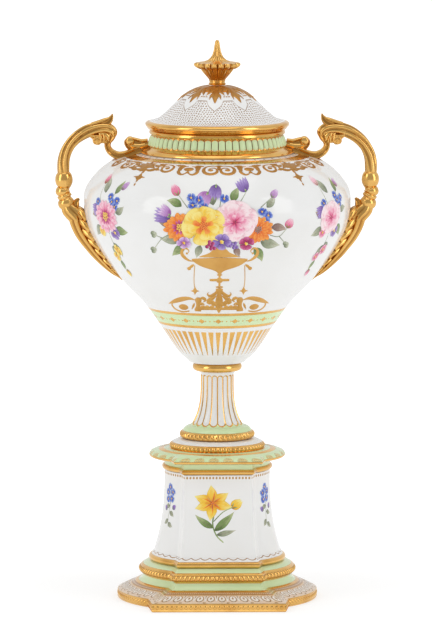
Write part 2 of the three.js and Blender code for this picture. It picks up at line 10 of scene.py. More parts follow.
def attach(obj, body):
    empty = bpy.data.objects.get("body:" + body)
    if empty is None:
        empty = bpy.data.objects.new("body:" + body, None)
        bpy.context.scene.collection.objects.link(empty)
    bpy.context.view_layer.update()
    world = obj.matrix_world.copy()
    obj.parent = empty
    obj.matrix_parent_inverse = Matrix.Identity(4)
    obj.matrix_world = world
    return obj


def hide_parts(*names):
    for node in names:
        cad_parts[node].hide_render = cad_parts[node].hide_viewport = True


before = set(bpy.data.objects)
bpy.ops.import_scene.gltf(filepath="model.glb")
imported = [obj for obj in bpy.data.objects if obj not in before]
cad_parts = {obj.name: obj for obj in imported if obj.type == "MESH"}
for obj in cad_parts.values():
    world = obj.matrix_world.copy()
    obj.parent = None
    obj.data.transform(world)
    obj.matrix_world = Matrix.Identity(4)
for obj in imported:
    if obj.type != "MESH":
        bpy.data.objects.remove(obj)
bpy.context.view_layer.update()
print("castings:", ", ".join(sorted(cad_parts)))

# %% [markdown]
# ## The heights
#
# Everything is written in millimetres and turned into metres when a piece is finished. The heights run up
# from the table. They could be typed in where they are used, but with names a moulding and what stands on
# it can't come apart.
# %% Heights and main radii
PLINTH_EDGE = 5.8
SLOPE_TOP = 11.2
TORUS_FOOT = 15.7
TORUS_TOP = 22.3
BEAD_FOOT = 24.5
BEAD_TOP = 28.5
BASE_TOP = 31.0
DIE_FOOT = 31.3
DIE_TOP = 83.9
CAP_FOOT = 84.2
COVE_FOOT = 87.5
CORONA_FOOT = 92.3
CORONA_TOP = 95.5
DRUM_FOOT = 97.5
DRUM_TOP = 101.9
CAP_TOP = 103.9
PLATE_FOOT = 97.9
STEM_FOOT = 104.2
BAND_FOOT = 109.1
FLUTE_FOOT = 112.4
FLUTE_TOP = 143.4
KNOP_FOOT = 148.0
STEM_TOP = 153.4
BOWL_FOOT = 153.7
BOWL_RISE = 135.9
BOWL_TOP = BOWL_FOOT + BOWL_RISE
BOWL_RADIUS = 86.4
BOWL_WIDEST = 256.6
COLLAR_FOOT = 289.9
REED_FOOT = 293.5
LIP_FOOT = 301.5
COLLAR_TOP = 304.7
COVER_FOOT = 305.0
RIM_TOP = 310.2
COVER_TOP = 333.1
FINIAL_FOOT = 333.4
WHORL_FOOT = 345.4
SPIRE_TIP = 362.4
NECK_BORE = 38.4
ROD_HOLE = 3.6
print("the vase stands", SPIRE_TIP, "mm high, and its bowl is", 2 * BOWL_RADIUS, "mm across")

# %% [markdown]
# ## Ways of making a shape
#
# Nearly every piece of such a vase is made on a wheel or drawn through a template. Three ways of working are
# enough here too: a profile spun round the axis, an outline extruded step by step, and a bar drawn along a
# bent path. Cylinders and boxes from the menu would need far more shaping.
# %% Ways of making a shape
SHARP = math.radians(38)
WELD = 1e-4


def smooth_line(points, per_span=6):
    """A smooth line through points of any dimension, with so many steps from each point to the next."""
    rows = [Vector(p) for p in points]
    ends = [rows[0] * 2 - rows[1]] + rows + [rows[-1] * 2 - rows[-2]]
    line = []
    for before, start, stop, after in zip(ends, ends[1:], ends[2:], ends[3:]):
        for i in range(per_span):
            t = i / per_span
            pull_start, pull_stop = (stop - before) / 2, (after - start) / 2
            line.append(
                start * (2 * t**3 - 3 * t**2 + 1)
                + pull_start * (t**3 - 2 * t**2 + t)
                + stop * (3 * t**2 - 2 * t**3)
                + pull_stop * (t**3 - t**2)
            )
    return line + [rows[-1]]


def half_round(radius, bulge, low, high, steps=8):
    """A round moulding as (radius, height) pairs."""
    turns = [math.radians(-88 + 176 * i / steps) for i in range(steps + 1)]
    middle, half = (low + high) / 2, (high - low) / 2
    return [(radius - bulge + bulge * math.cos(a), middle + half * math.sin(a)) for a in turns]


def turn_profile(bm, profile, steps=180):
    """Turns a profile of (radius, height) pairs once round the axis."""
    points = [bm.verts.new((r, 0, z)) for r, z in profile]
    line = [bm.edges.new(pair) for pair in zip(points, points[1:])]
    bmesh.ops.spin(
        bm, geom=points + line, cent=(0, 0, 0), axis=(0, 0, 1), angle=math.tau, steps=steps, use_merge=True
    )
    bmesh.ops.remove_doubles(bm, verts=bm.verts, dist=WELD)


def carry_outline(bm, outlines, lengths=None, sunk=None):
    """Extrudes the first outline from place to place and welds what meets. It lays out a map as well: along
    the outline and up the rows, or how deep each place is sunk in a groove, which the grooved gold turns into
    painted shade."""
    place = bm.verts.layers.int.get("place") or bm.verts.layers.int.new("place")
    row = bm.verts.layers.int.get("row") or bm.verts.layers.int.new("row")
    count = len(outlines[0])
    first = [bm.verts.new(p) for p in outlines[0]]
    for i, vert in enumerate(first):
        vert[place] = i
        vert[row] = 0
    edges = [bm.edges.new(pair) for pair in zip(first, first[1:] + first[:1])]
    faces = []
    for step, outline in enumerate(outlines[1:], 1):
        made = bmesh.ops.extrude_edge_only(bm, edges=edges)["geom"]
        verts = {g for g in made if isinstance(g, bmesh.types.BMVert)}
        for vert in verts:
            vert.co = outline[vert[place]]
            vert[row] = step
        edges = [g for g in made if isinstance(g, bmesh.types.BMEdge) and set(g.verts) <= verts]
        faces += [g for g in made if isinstance(g, bmesh.types.BMFace)]
    if lengths:
        along, up = lengths
        uv = bm.loops.layers.uv.verify()
        for face in faces:
            places = [loop.vert[place] for loop in face.loops]
            wraps = max(places) - min(places) > count / 2
            for loop in face.loops:
                i = loop.vert[place]
                u = along[count] if wraps and i == 0 else along[i]
                loop[uv].uv = (u, up[loop.vert[row]])
    if sunk:
        uv = bm.loops.layers.uv.verify()
        for face in faces:
            for loop in face.loops:
                loop[uv].uv = (sunk[loop.vert[row]][loop.vert[place]], 0.0)
    bmesh.ops.remove_doubles(bm, verts=bm.verts, dist=WELD)


def running_length(points):
    """How far along a line each of its points is."""
    total, lengths = 0.0, [0.0]
    for a, b in zip(points, points[1:]):
        total += (Vector(b) - Vector(a)).length
        lengths.append(total)
    return lengths


def draw_bar(bm, stations, section, per_span=6, sides=24):
    """Draws a bar along a bent path. A station is x, y, z, half width and half depth. The section says how
    far out the bar's surface is, from the angle round it and the share of its length."""
    line = smooth_line(stations, per_span)
    rings, sunk = [], []
    for i, station in enumerate(line):
        here = Vector(station[:3])
        ahead = Vector(line[min(i + 1, len(line) - 1)][:3])
        behind = Vector(line[max(i - 1, 0)][:3])
        run = (ahead - behind).normalized()
        across = Vector((0, 1, 0)).cross(run)
        across = across.normalized() if across.length > 1e-3 else Vector((1, 0, 0))
        depth = run.cross(across).normalized()
        turns = [math.tau * j / sides for j in range(sides)]
        reaches = [section(angle, i / (len(line) - 1)) for angle in turns]
        wide, deep = across * station[3], depth * station[4]
        rings.append([here + wide * side + deep * front for side, front in reaches])
        # How deep each place lies in a groove, for the painted shade of the grooved gold.
        sunk.append([max(0.0, 1 - math.hypot(side, front)) for side, front in reaches])
    start, stop = Vector(line[0][:3]), Vector(line[-1][:3])
    sunk = sunk[:1] + sunk + sunk[-1:]
    carry_outline(bm, [[start] * sides] + rings + [[stop] * sides], sunk=sunk)


def round_section(angle, share):
    """A plain round bar, the same all along."""
    return math.cos(angle), math.sin(angle)


def finish_piece(bm, name, materials, body="vase", stands_for=(), sharp=SHARP, outwards=True):
    """Turns a shape in millimetres into a finished piece in metres that moves with its casting."""
    bmesh.ops.scale(bm, vec=(0.001, 0.001, 0.001), verts=bm.verts)
    if outwards:
        bmesh.ops.recalc_face_normals(bm, faces=bm.faces)
    for edge in bm.edges:
        edge.smooth = not (edge.is_manifold and edge.calc_face_angle(0) > sharp)
    for face in bm.faces:
        face.smooth = True
    mesh = bpy.data.meshes.new(name)
    bm.to_mesh(mesh)
    bm.free()
    for material in materials:
        mesh.materials.append(material)
    piece = bpy.data.objects.new(name, mesh)
    bpy.context.scene.collection.objects.link(piece)
    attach(piece, body)
    if stands_for:
        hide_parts(*stands_for)
    print(f"{name}: {len(mesh.polygons)} faces")


# %% [markdown]
# ## Writing a finish
#
# A finish on a turned piece follows the turning: lines at a height, dots at equal steps round the axis. It
# could be a picture laid round the piece, but a small network of sums stays sharp and never slides. The
# sums ask how far round and how high a place is, and whether there is gold on it.
# %% Sums for a finish
def node(tree, kind, **settings):
    made = tree.nodes.new("ShaderNode" + kind)
    for key, value in settings.items():
        setattr(made, key, value)
    return made


def feed(socket, value):
    """Puts a number in a socket or wires another socket to it."""
    if isinstance(value, bpy.types.NodeSocket):
        socket.id_data.links.new(value, socket)
    else:
        socket.default_value = value


def tree_of(*values):
    """The tree of the first socket among these values. A sum is always added to the tree that feeds it."""
    return next(value for value in values if isinstance(value, bpy.types.NodeSocket)).id_data


def calc(operation, *values, clamp=False):
    made = node(tree_of(*values), "Math", operation=operation, use_clamp=clamp)
    for socket, value in zip(made.inputs, values):
        feed(socket, value)
    return made.outputs[0]


def add(*values):
    return functools.reduce(functools.partial(calc, "ADD"), values)


def minus(a, b):
    return calc("SUBTRACT", a, b)


def times(a, b):
    return calc("MULTIPLY", a, b)


def highest(*values):
    return functools.reduce(functools.partial(calc, "MAXIMUM"), values)


def rise(value, low, high, result_low=0.0, result_high=1.0):
    """Goes smoothly from one result to the other as the value goes from low to high."""
    made = node(tree_of(value, low, high), "MapRange", interpolation_type="SMOOTHSTEP")
    for socket, number in zip(made.inputs, (value, low, high, result_low, result_high)):
        feed(socket, number)
    return made.outputs[0]


def below(value, limit, soft=0.06):
    """1 where the value is under the limit, with a soft edge."""
    return rise(value, limit - soft, limit + soft, 1.0, 0.0)


def above(value, limit, soft=0.06):
    """1 where the value is over the limit, with a soft edge."""
    return rise(value, limit - soft, limit + soft)


def band(value, low, high, soft=0.06):
    """1 between two heights, with soft edges."""
    middle, half = (low + high) / 2, (high - low) / 2
    return below(calc("ABSOLUTE", minus(value, middle)), half, soft)


def cell(value, pitch):
    """How far the value is from the middle of its cell, in the value's own unit."""
    share = calc("FRACT", calc("DIVIDE", value, pitch))
    return times(minus(share, 0.5), pitch)


def units_round(turn, radius, count, shift=0.0):
    """Millimetres round the axis from the middle of a unit, where so many go round, shifted by a share."""
    if shift:
        turn = add(turn, shift / count)
    return times(times(cell(turn, 1 / count), math.tau), radius)


def reach(*values):
    """The length of a step that goes so far each way."""
    total = times(values[0], values[0])
    for value in values[1:]:
        total = calc("MULTIPLY_ADD", value, value, total)
    return calc("SQRT", total)


def blend(kind, first_input, output, share, low, high):
    """Mixes two values by a share. Each kind of value has its own sockets on the node."""
    made = node(tree_of(share, low, high), "Mix", data_type=kind)
    for i, value in ((0, share), (first_input, low), (first_input + 1, high)):
        feed(made.inputs[i], value)
    return made.outputs[output]


blend_colours = functools.partial(blend, "RGBA", 6, 2)
blend_numbers = functools.partial(blend, "FLOAT", 2, 0)


def where(tree):
    """The height and the distance from the axis in millimetres, and the share of a turn from the front."""
    coordinates = node(tree, "TexCoord")
    scaled = node(tree, "VectorMath", operation="SCALE")
    tree.links.new(coordinates.outputs["Object"], scaled.inputs[0])
    scaled.inputs["Scale"].default_value = 1000
    split = node(tree, "SeparateXYZ")
    tree.links.new(scaled.outputs[0], split.inputs[0])
    x, y, z = split.outputs
    turn = calc("DIVIDE", calc("ARCTAN2", x, times(y, -1)), math.tau)
    return z, reach(x, y), turn


def own_map(tree):
    """The two values of the piece's own map, such as millimetres along the outline and up the profile."""
    split = node(tree, "SeparateXYZ")
    tree.links.new(node(tree, "TexCoord").outputs["UV"], split.inputs[0])
    return split.outputs[0], split.outputs[1]


def grain(tree, scale, detail=3.0, stretch=None):
    """Fine uneven noise from 0 to 1, from the place on the piece."""
    coordinates = node(tree, "TexCoord")
    source = coordinates.outputs["Object"]
    if stretch:
        mapping = node(tree, "Mapping")
        tree.links.new(source, mapping.inputs[0])
        mapping.inputs["Scale"].default_value = stretch
        source = mapping.outputs[0]
    made = node(tree, "TexNoise")
    tree.links.new(source, made.inputs["Vector"])
    made.inputs["Scale"].default_value = scale
    made.inputs["Detail"].default_value = detail
    return made.outputs["Fac"]


def new_material(name):
    """An empty material, its tree and its shader."""
    material = bpy.data.materials.new(name)
    material.use_nodes = True
    return material, material.node_tree, material.node_tree.nodes["Principled BSDF"]


def add_relief(shader, height, distance, strength=1.0):
    """Lets the light see a height that is too fine for the mesh."""
    bump = node(tree_of(height), "Bump")
    bump.inputs["Distance"].default_value = distance
    bump.inputs["Strength"].default_value = strength
    feed(bump.inputs["Height"], height)
    feed(shader.inputs["Normal"], bump.outputs[0])


# %% [markdown]
# ## Burnished gilding
#
# Gold is painted on, fired and rubbed bright with a stone. It is browner where the brush ran thin. One flat
# yellow would look like plastic, so a slow noise mixes in brown and a quick one changes the gloss. All gilt
# parts share this one node group.
# %% Gilding
GOLD_BRIGHT = (0.84, 0.50, 0.15, 1)
GOLD_BROWN = (0.62, 0.31, 0.07, 1)
# The deepest brown serves two things: the browner tone of ornament gold, and painted shade in the grooves of
# cast gold pieces.
GOLD_BROWN_AND_GROOVE_SHADE = (0.42, 0.19, 0.04, 1)


def new_group(name, sockets):
    """A node group with these sockets, each with its name, its direction and the kind of its value."""
    group = bpy.data.node_groups.new(name, "ShaderNodeTree")
    for socket, direction, kind in sockets:
        group.interface.new_socket(socket, in_out=direction, socket_type="NodeSocket" + kind)
    return group, group.nodes.new("NodeGroupOutput")


def make_gilding():
    sockets = [("Colour", "OUTPUT", "Color"), ("Roughness", "OUTPUT", "Float"), ("Height", "OUTPUT", "Float")]
    group, out = new_group("burnished gilding", sockets + [("Depth", "INPUT", "Float")])
    depth = group.nodes.new("NodeGroupInput").outputs["Depth"]
    cloud = grain(group, 60, 3)
    rubbed = grain(group, 180, 1)
    thin = times(rise(cloud, 0.42, 0.72), 0.6)
    laid = blend_colours(thin, GOLD_BRIGHT, GOLD_BROWN)
    # The third input browns the gold: a browner tone for ornament gold, and painted shade in the grooves and
    # hollows of cast pieces.
    feed(out.inputs["Colour"], blend_colours(depth, laid, GOLD_BROWN_AND_GROOVE_SHADE))
    feed(out.inputs["Roughness"], rise(rubbed, 0.3, 0.75, 0.14, 0.22))
    feed(out.inputs["Height"], times(rubbed, 0.12))
    return group


GILDING = make_gilding()

# %% [markdown]
# ## Glaze
#
# A clear gloss glaze covers the porcelain. It is never quite level and carries a faint cloud of cream and
# grey. The cloud could be a picture, but a noise needs no seam, and every glazed piece can use the same
# node group.
# %% Glaze
WHITE = ((0.87, 0.872, 0.865, 1), (0.84, 0.838, 0.82, 1))
GREEN = ((0.69, 0.84, 0.51, 1), (0.63, 0.78, 0.44, 1))
GLAZE_ROUGHNESS = 0.11


def make_glaze():
    group, out = new_group("clear glaze", [("Cloud", "OUTPUT", "Float"), ("Height", "OUTPUT", "Float")])
    feed(out.inputs["Cloud"], rise(grain(group, 22, 3), 0.35, 0.7))
    feed(out.inputs["Height"], grain(group, 45, 1))
    return group


GLAZE = make_glaze()

# %% [markdown]
# ### Two kinds of finish
#
# A glazed piece is white or green porcelain with gold on part of it, and its own paint function says where.
# A gilt piece is gold all over. One long recipe with switches could do both, but two short ones are easier
# to read.
# %% Glazed and gilt finishes
def glazed(name, paint):
    """A glazed and gilded material. The paint function gets the tree and a way to cloud a pair of colours. It
    gives back the enamel colour, the mask of the gold and how high the gold stands, in millimetres."""
    material, tree, shader = new_material(name)
    gilding = node(tree, "Group", node_tree=GILDING)
    glaze = node(tree, "Group", node_tree=GLAZE)

    def clouded(colours):
        return blend_colours(glaze.outputs["Cloud"], *colours)

    enamel, gold, relief = paint(tree, clouded)
    feed(shader.inputs["Base Color"], blend_colours(gold, enamel, gilding.outputs["Colour"]))
    feed(shader.inputs["Metallic"], gold)
    roughness = blend_numbers(gold, GLAZE_ROUGHNESS, gilding.outputs["Roughness"])
    feed(shader.inputs["Roughness"], roughness)
    unevenness = times(glaze.outputs["Height"], 0.05)
    rubbing = times(gilding.outputs["Height"], 0.02)
    add_relief(shader, add(unevenness, times(gold, relief), rubbing), 0.001)
    return material


def gilt(name, softer, metallic, depth, groove_shade_depth=None):
    """Solid gold: burnished for mouldings and handles, or left softer or browner for painted ornament. In a
    grooved piece the gold is painted darker, towards brown, where the piece's map says that a place is sunk
    that deep: painted shade in the grooves."""
    material, tree, shader = new_material(name)
    gilding = node(tree, "Group", node_tree=GILDING)
    gilding.inputs["Depth"].default_value = depth
    # Painted shade: the gold darkens towards brown with how deep the map says a place lies in a groove.
    if groove_shade_depth:
        feed(gilding.inputs["Depth"], rise(own_map(tree)[0], 0.02, groove_shade_depth, 0.0, 0.85))
    shader.inputs["Metallic"].default_value = metallic
    feed(shader.inputs["Base Color"], gilding.outputs["Colour"])
    feed(shader.inputs["Roughness"], add(gilding.outputs["Roughness"], softer))
    add_relief(shader, gilding.outputs["Height"], 0.0001, 0.4)
    return material


BURNISHED_GOLD = gilt("burnished gold", 0.0, 1.0, 0.0)
GOLD_WITH_GROOVE_SHADE = gilt("gold with painted groove shade", 0.0, 1.0, 0.0, 0.17)
SOFT_GOLD = gilt("soft gold", 0.26, 0.75, 0.3)
BROWN_GOLD = gilt("brown gold", 0.18, 0.85, 0.85)
for gold in (BURNISHED_GOLD, GOLD_WITH_GROOVE_SHADE, SOFT_GOLD, BROWN_GOLD):
    print("gilding:", gold.name)


# %% [markdown]
# ## The bowl
#
# The bowl's outside is one flowing line from the narrow foot over the wide belly to the shoulder. It could
# be sculpted from a ball, but a few points on the outline, a smooth line through them and one spin keep it
# true.
# %% Line of the bowl
BOWL_SHAPE = [(0.204, 0), (0.297, 0.057), (0.419, 0.172), (0.55, 0.288), (0.709, 0.394), (0.856, 0.52)]
BOWL_SHAPE += [(0.946, 0.618), (0.977, 0.672), (0.9945, 0.728), (1.0, 0.777), (0.99, 0.822), (0.96, 0.859)]
BOWL_SHAPE += [(0.915, 0.896), (0.852, 0.934), (0.775, 0.964), (0.69, 0.982), (0.62, 0.9915), (0.55, 1)]
BOWL_LINE = smooth_line([(r * BOWL_RADIUS, BOWL_FOOT + z * BOWL_RISE) for r, z in BOWL_SHAPE], 8)
BOWL_LENGTHS = running_length(BOWL_LINE)


def moved_in(line, distance):
    """A line moved to its left by a distance, for the inside of a wall."""
    result = []
    for i, point in enumerate(line):
        run = (line[min(i + 1, len(line) - 1)] - line[max(i - 1, 0)]).normalized()
        result.append(point + Vector((-run.y, run.x)) * distance)
    return result


def bowl_at_height(z):
    """The bowl's radius at a height, on the outside."""
    for a, b in zip(BOWL_LINE, BOWL_LINE[1:]):
        if a.y <= z <= b.y:
            return a.x + (b.x - a.x) * (z - a.y) / (b.y - a.y)
    return BOWL_LINE[0].x


print("the bowl's wall is", round(BOWL_LENGTHS[-1]), "mm long from its foot to the neck")

# %% [markdown]
# ### Gilding and green belt of the bowl
#
# Gilt wedges rise from the foot, a green belt with lozenges lies above them, and a broad gilt ring with
# brown dots closes the shoulder. It could be drawn mark by mark, but all of it repeats round the axis, so
# one unit is described and counted round.
# %% Bowl
RAY_FOOT = 160.6
RAY_TOP = 176.9
BELT_FOOT = 181.0
BELT_TOP = 188.4
NECK_LINE = (52.6, 59.4)
NECK_DOTS = 50.7


def paint_bowl(tree, clouded):
    z, radius, turn = where(tree)
    # Forty-eight gilt wedges that narrow downwards
    ray = calc("ABSOLUTE", units_round(turn, radius, 48, 0.5))
    half = calc("MULTIPLY_ADD", minus(z, RAY_FOOT), 0.094, 0.16)
    rays = times(below(minus(ray, half), 0.0, 0.12), band(z, RAY_FOOT, RAY_TOP, 0.2))
    # Green belt with gilt lozenges and small dots between two gilt lines
    belt = band(z, BELT_FOOT, BELT_TOP)
    lines = band(z, BELT_FOOT - 1.4, BELT_FOOT + 0.3)
    lines = highest(lines, band(z, BELT_TOP, BELT_TOP + 1.7))
    up = calc("ABSOLUTE", minus(z, (BELT_FOOT + BELT_TOP) / 2 - 0.1))
    lozenge = calc("ABSOLUTE", times(units_round(turn, radius, 24, 0.5), 0.72))
    lozenges = below(add(lozenge, up), 1.55, 0.12)
    dots = below(reach(units_round(turn, radius, 96, 0.5), up), 0.42, 0.12)
    # A broad gilt ring under the neck, and a row of brown dots above it
    shoulder = above(z, 280.0, 1.0)
    ring = times(band(radius, *NECK_LINE, 0.1), shoulder)
    neck_dots = reach(units_round(turn, radius, 46), minus(radius, NECK_DOTS))
    neck_dots = times(below(neck_dots, 0.8, 0.2), shoulder)
    brown = (0.25, 0.13, 0.05, 1)
    enamel = blend_colours(belt, clouded(WHITE), clouded(GREEN))
    enamel = blend_colours(neck_dots, enamel, brown)
    return enamel, highest(rays, lines, lozenges, dots, ring), 0.12


def make_bowl():
    wall = 4.2
    floor = BOWL_FOOT + 6
    inside = [p for p in moved_in(BOWL_LINE, wall) if floor + 1.2 < p.y < BOWL_TOP - wall]
    inside = [p for p in inside if p.y < BOWL_WIDEST or p.x > NECK_BORE]
    profile = [(ROD_HOLE, BOWL_FOOT)] + [tuple(p) for p in BOWL_LINE]
    profile += [(NECK_BORE, BOWL_TOP), (NECK_BORE, BOWL_TOP - wall)]
    profile += [tuple(p) for p in reversed(inside)] + [(14, floor), (ROD_HOLE, floor), (ROD_HOLE, BOWL_FOOT)]
    bm = bmesh.new()
    turn_profile(bm, profile, 240)
    glaze = glazed("glazed bowl", paint_bowl)
    finish_piece(bm, "bowl_body", [glaze], stands_for=["bowl"])


make_bowl()

# %% [markdown]
# ## The stem
#
# The stem stands on a small gilt ring cut like a rope, with a green band above it. Eighteen hollow flutes
# run up the shaft, with a gilt line on each ridge between two. The flutes could be cut out with rods, but a
# boolean leaves ragged faces. Here the outline itself is drawn in where a flute is, from row to row.
# %% Stem
FLUTES = 18
FLUTE_DEPTH = 1.0
FLUTE_HEAD = 145.9


def stem_radius(z):
    """A slim shaft that swings out only near its foot."""
    share = (z - FLUTE_FOOT) / (FLUTE_TOP - FLUTE_FOOT)
    return 10.8 + 6.2 * max(0.0, 1 - share) ** 3.3


def flute_depth(turn, z):
    """How deep the shaft is hollowed at an angle and a height."""
    pitch = math.tau / FLUTES
    across = abs((turn / pitch) % 1 - 0.5) * 2
    wide = stem_radius(z) * pitch / 2
    from_end = min(z - FLUTE_FOOT - 0.6, FLUTE_HEAD - 0.4 - z)
    if from_end <= 0:
        return 0.0
    slack = max(0.0, 1 - from_end / wide)
    away = math.hypot(across, slack)
    return FLUTE_DEPTH * math.sqrt(max(0.0, 1 - min(1.0, away) ** 2)) if away < 1 else 0.0


def round_outline(radius, z, count, shape=None):
    """A round outline, starting at the front. The shape gives how far a point stands in from the radius."""
    points = []
    for i in range(count):
        turn = math.tau * i / count
        r = radius - (shape(turn, z) if shape else 0)
        points.append((r * math.sin(turn), -r * math.cos(turn), z))
    return points


def cut_ring(radius, bulge, low, high, units, count, twist=0.0, cut=0.35, steps=8):
    """Outlines of a round moulding that is cut across into units, such as beads or the strands of a rope."""
    outlines = []
    for r, z in half_round(radius, bulge, low, high, steps):
        share = (z - low) / (high - low)

        def cut_in(turn, _z, share=share):
            wave = abs(math.sin(units * turn / 2 + twist * math.pi * share))
            return cut * bulge * (1 - wave**0.7) * math.sin(math.pi * min(max(share, 0.02), 0.98))

        outlines.append(round_outline(r, z, count, cut_in))
    return outlines


def inside_flute(across, half, z, low, high):
    """Millimetres from a place to the edge of an upright flute or reed that is rounded at both ends."""
    from_end = calc("MINIMUM", minus(z, low), minus(high, z))
    beyond = calc("MAXIMUM", minus(half, from_end), 0.0)
    return minus(half, reach(across, beyond))


def paint_stem(tree, clouded):
    z, radius, turn = where(tree)
    across = calc("ABSOLUTE", units_round(turn, radius, FLUTES))
    half = times(radius, math.pi / FLUTES)
    edge = inside_flute(across, half, z, FLUTE_FOOT + 0.6, FLUTE_HEAD - 0.4)
    outline = times(band(edge, -0.28, 0.42, 0.08), band(z, FLUTE_FOOT - 0.2, FLUTE_HEAD, 0.1))
    knop = band(z, KNOP_FOOT - 0.3, STEM_TOP + 1, 0.05)
    ring = band(z, STEM_FOOT - 1, BAND_FOOT, 0.05)
    # The green of the band climbs a little way between the flutes
    low_down = below(z, FLUTE_FOOT + 3.6, 0.1)
    in_flute = above(edge, 0.0, 0.08)
    climbing = calc("SUBTRACT", low_down, times(in_flute, low_down), clamp=True)
    gold = times(highest(outline, knop, ring), above(radius, 9.0, 0.3))
    return blend_colours(climbing, clouded(WHITE), clouded(GREEN)), gold, 0.1


def make_stem():
    count = FLUTES * 16
    outlines = cut_ring(24.4, 2.4, STEM_FOOT, BAND_FOOT, 44, count, twist=0.6, cut=0.6)
    for share in (0.0, 0.25, 0.5, 0.75, 1.0):
        turn = share * math.pi / 2
        height = BAND_FOOT + 3.3 * math.sin(turn) ** 1.2
        outlines.append(round_outline(17.2 + 5.0 * math.cos(turn), height, count))
    rows = 44
    for i in range(rows + 1):
        share = i / rows
        z = FLUTE_FOOT + (FLUTE_HEAD - FLUTE_FOOT) * (0.5 - 0.5 * math.cos(math.pi * share))
        outlines.append(round_outline(stem_radius(z), z, count, flute_depth))
    plain = [(10.9, 146.5), (11.6, 147.2), (12.7, KNOP_FOOT)]
    plain += half_round(16.0, 2.6, KNOP_FOOT, STEM_TOP, 12)
    plain += [(ROD_HOLE, STEM_TOP), (ROD_HOLE, FLUTE_TOP), (6.1, 128), (9.0, 119), (14.0, FLUTE_FOOT)]
    outlines += [round_outline(r, z, count) for r, z in plain + [(16.9, STEM_FOOT)]]
    bm = bmesh.new()
    carry_outline(bm, outlines + [outlines[0]])
    glaze = glazed("glazed stem", paint_stem)
    finish_piece(bm, "fluted_stem", [glaze], stands_for=["stem"])


make_stem()

# %% [markdown]
# ## The neck ring
#
# Sixty upright green reeds go round the neck, between a gilt foot and the gilt lip that the cover rests on.
# Sixty rods could be set in a ring, but they would cut into each other. So one skin is drawn out to the
# reeds, and the same sums that shape them colour the lines between them and the gilt corners.
# %% Neck ring
REEDS = 60


def paint_collar(tree, clouded):
    z, radius, turn = where(tree)
    across = calc("ABSOLUTE", units_round(turn, radius, REEDS))
    half = times(radius, math.pi / REEDS)
    # Brown lines between the reeds, and gold in the corners outside their round ends
    corner = inside_flute(across, half, z, REED_FOOT + 0.7, LIP_FOOT - 0.4)
    gap = below(minus(half, across), 0.27, 0.1)
    corners = calc("SUBTRACT", below(corner, 0.05, 0.1), gap, clamp=True)
    foot = times(below(z, REED_FOOT + 0.7, 0.06), above(z, 289.0, 0.1))
    head = above(z, LIP_FOOT - 0.4, 0.06)
    outside = above(radius, NECK_BORE + 1.6, 0.2)
    inner_rim = above(z, COLLAR_TOP - 0.4, 0.1)
    gold = times(highest(corners, foot, head), highest(outside, inner_rim))
    reeds = blend_colours(gap, clouded(GREEN), (0.22, 0.12, 0.06, 1))
    return blend_colours(outside, clouded(WHITE), reeds), gold, 0.06


def make_collar():
    count = REEDS * 8
    face, low, high = 45.3, 294.0, 301.3

    def reed(turn, z):
        """How far a place stands in from the face of its reed: the reeds are round, with round ends."""
        across = abs((turn * REEDS / math.tau) % 1 - 0.5) * 2
        from_end = min(z - low, high - z)
        away = min(1.0, math.hypot(across, max(0.0, 1 - from_end / 2.3)))
        return 1.5 * (1 - math.sqrt(1 - 0.96 * away**2))

    foot = [(48.9, 289.5), (49.4, 290.0), (49.4, 290.8), (48.4, 291.9), (46.6, 292.7), (45.3, 293.3)]
    foot += [(44.6, 293.9)]
    lip = [(42.3, 301.5), (43.3, 301.8), (43.9, 302.5), (43.9, 303.5), (43.4, 304.3), (42.6, COLLAR_TOP)]
    inside = [(NECK_BORE + 0.6, COLLAR_TOP), (NECK_BORE, 304.2), (NECK_BORE, COLLAR_FOOT)]
    outlines = [round_outline(r, z, count) for r, z in foot]
    for z in (294.1, 294.5, 295.0, 295.7, 296.6, 297.7, 298.7, 299.5, 300.1, 300.6, 301.0, high):
        outlines.append(round_outline(face - 0.28 * (z - low), z, count, reed))
    outlines += [round_outline(r, z, count) for r, z in lip + inside + [(47.6, COLLAR_FOOT)]]
    bm = bmesh.new()
    carry_outline(bm, outlines + [outlines[0]])
    glaze = glazed("glazed neck ring", paint_collar)
    finish_piece(bm, "reeded_neck_ring", [glaze], stands_for=["neck_collar"])


make_collar()

# %% [markdown]
# ## The cover
#
# The dome is sprinkled with rows of brown enamel dots, set like the cells of a honeycomb but shaken a
# little, as a hand sets them. Thousands of small discs would be heavy and would sink into the curve. The
# dots are part of the glaze instead: a map tells how far up the dome a place is, and sums do the rest.
# %% Cover
DOME_SHAPE = [(44.4, -0.1), (40.8, 0.7), (37.6, 2.2), (34.2, 4.9), (30.9, 8.0), (27.2, 11.7), (22.9, 15.7)]
DOME_SHAPE += [(17.2, 19.4), (11.6, 21.7), (6.7, 22.6)]
DOME_LINE = smooth_line([(r, RIM_TOP + z) for r, z in DOME_SHAPE], 6)
DOME_LENGTHS = running_length(DOME_LINE)
LEAVES = 9
LEAF_TURN = 4.3
CROWN_FOOT = 329.8


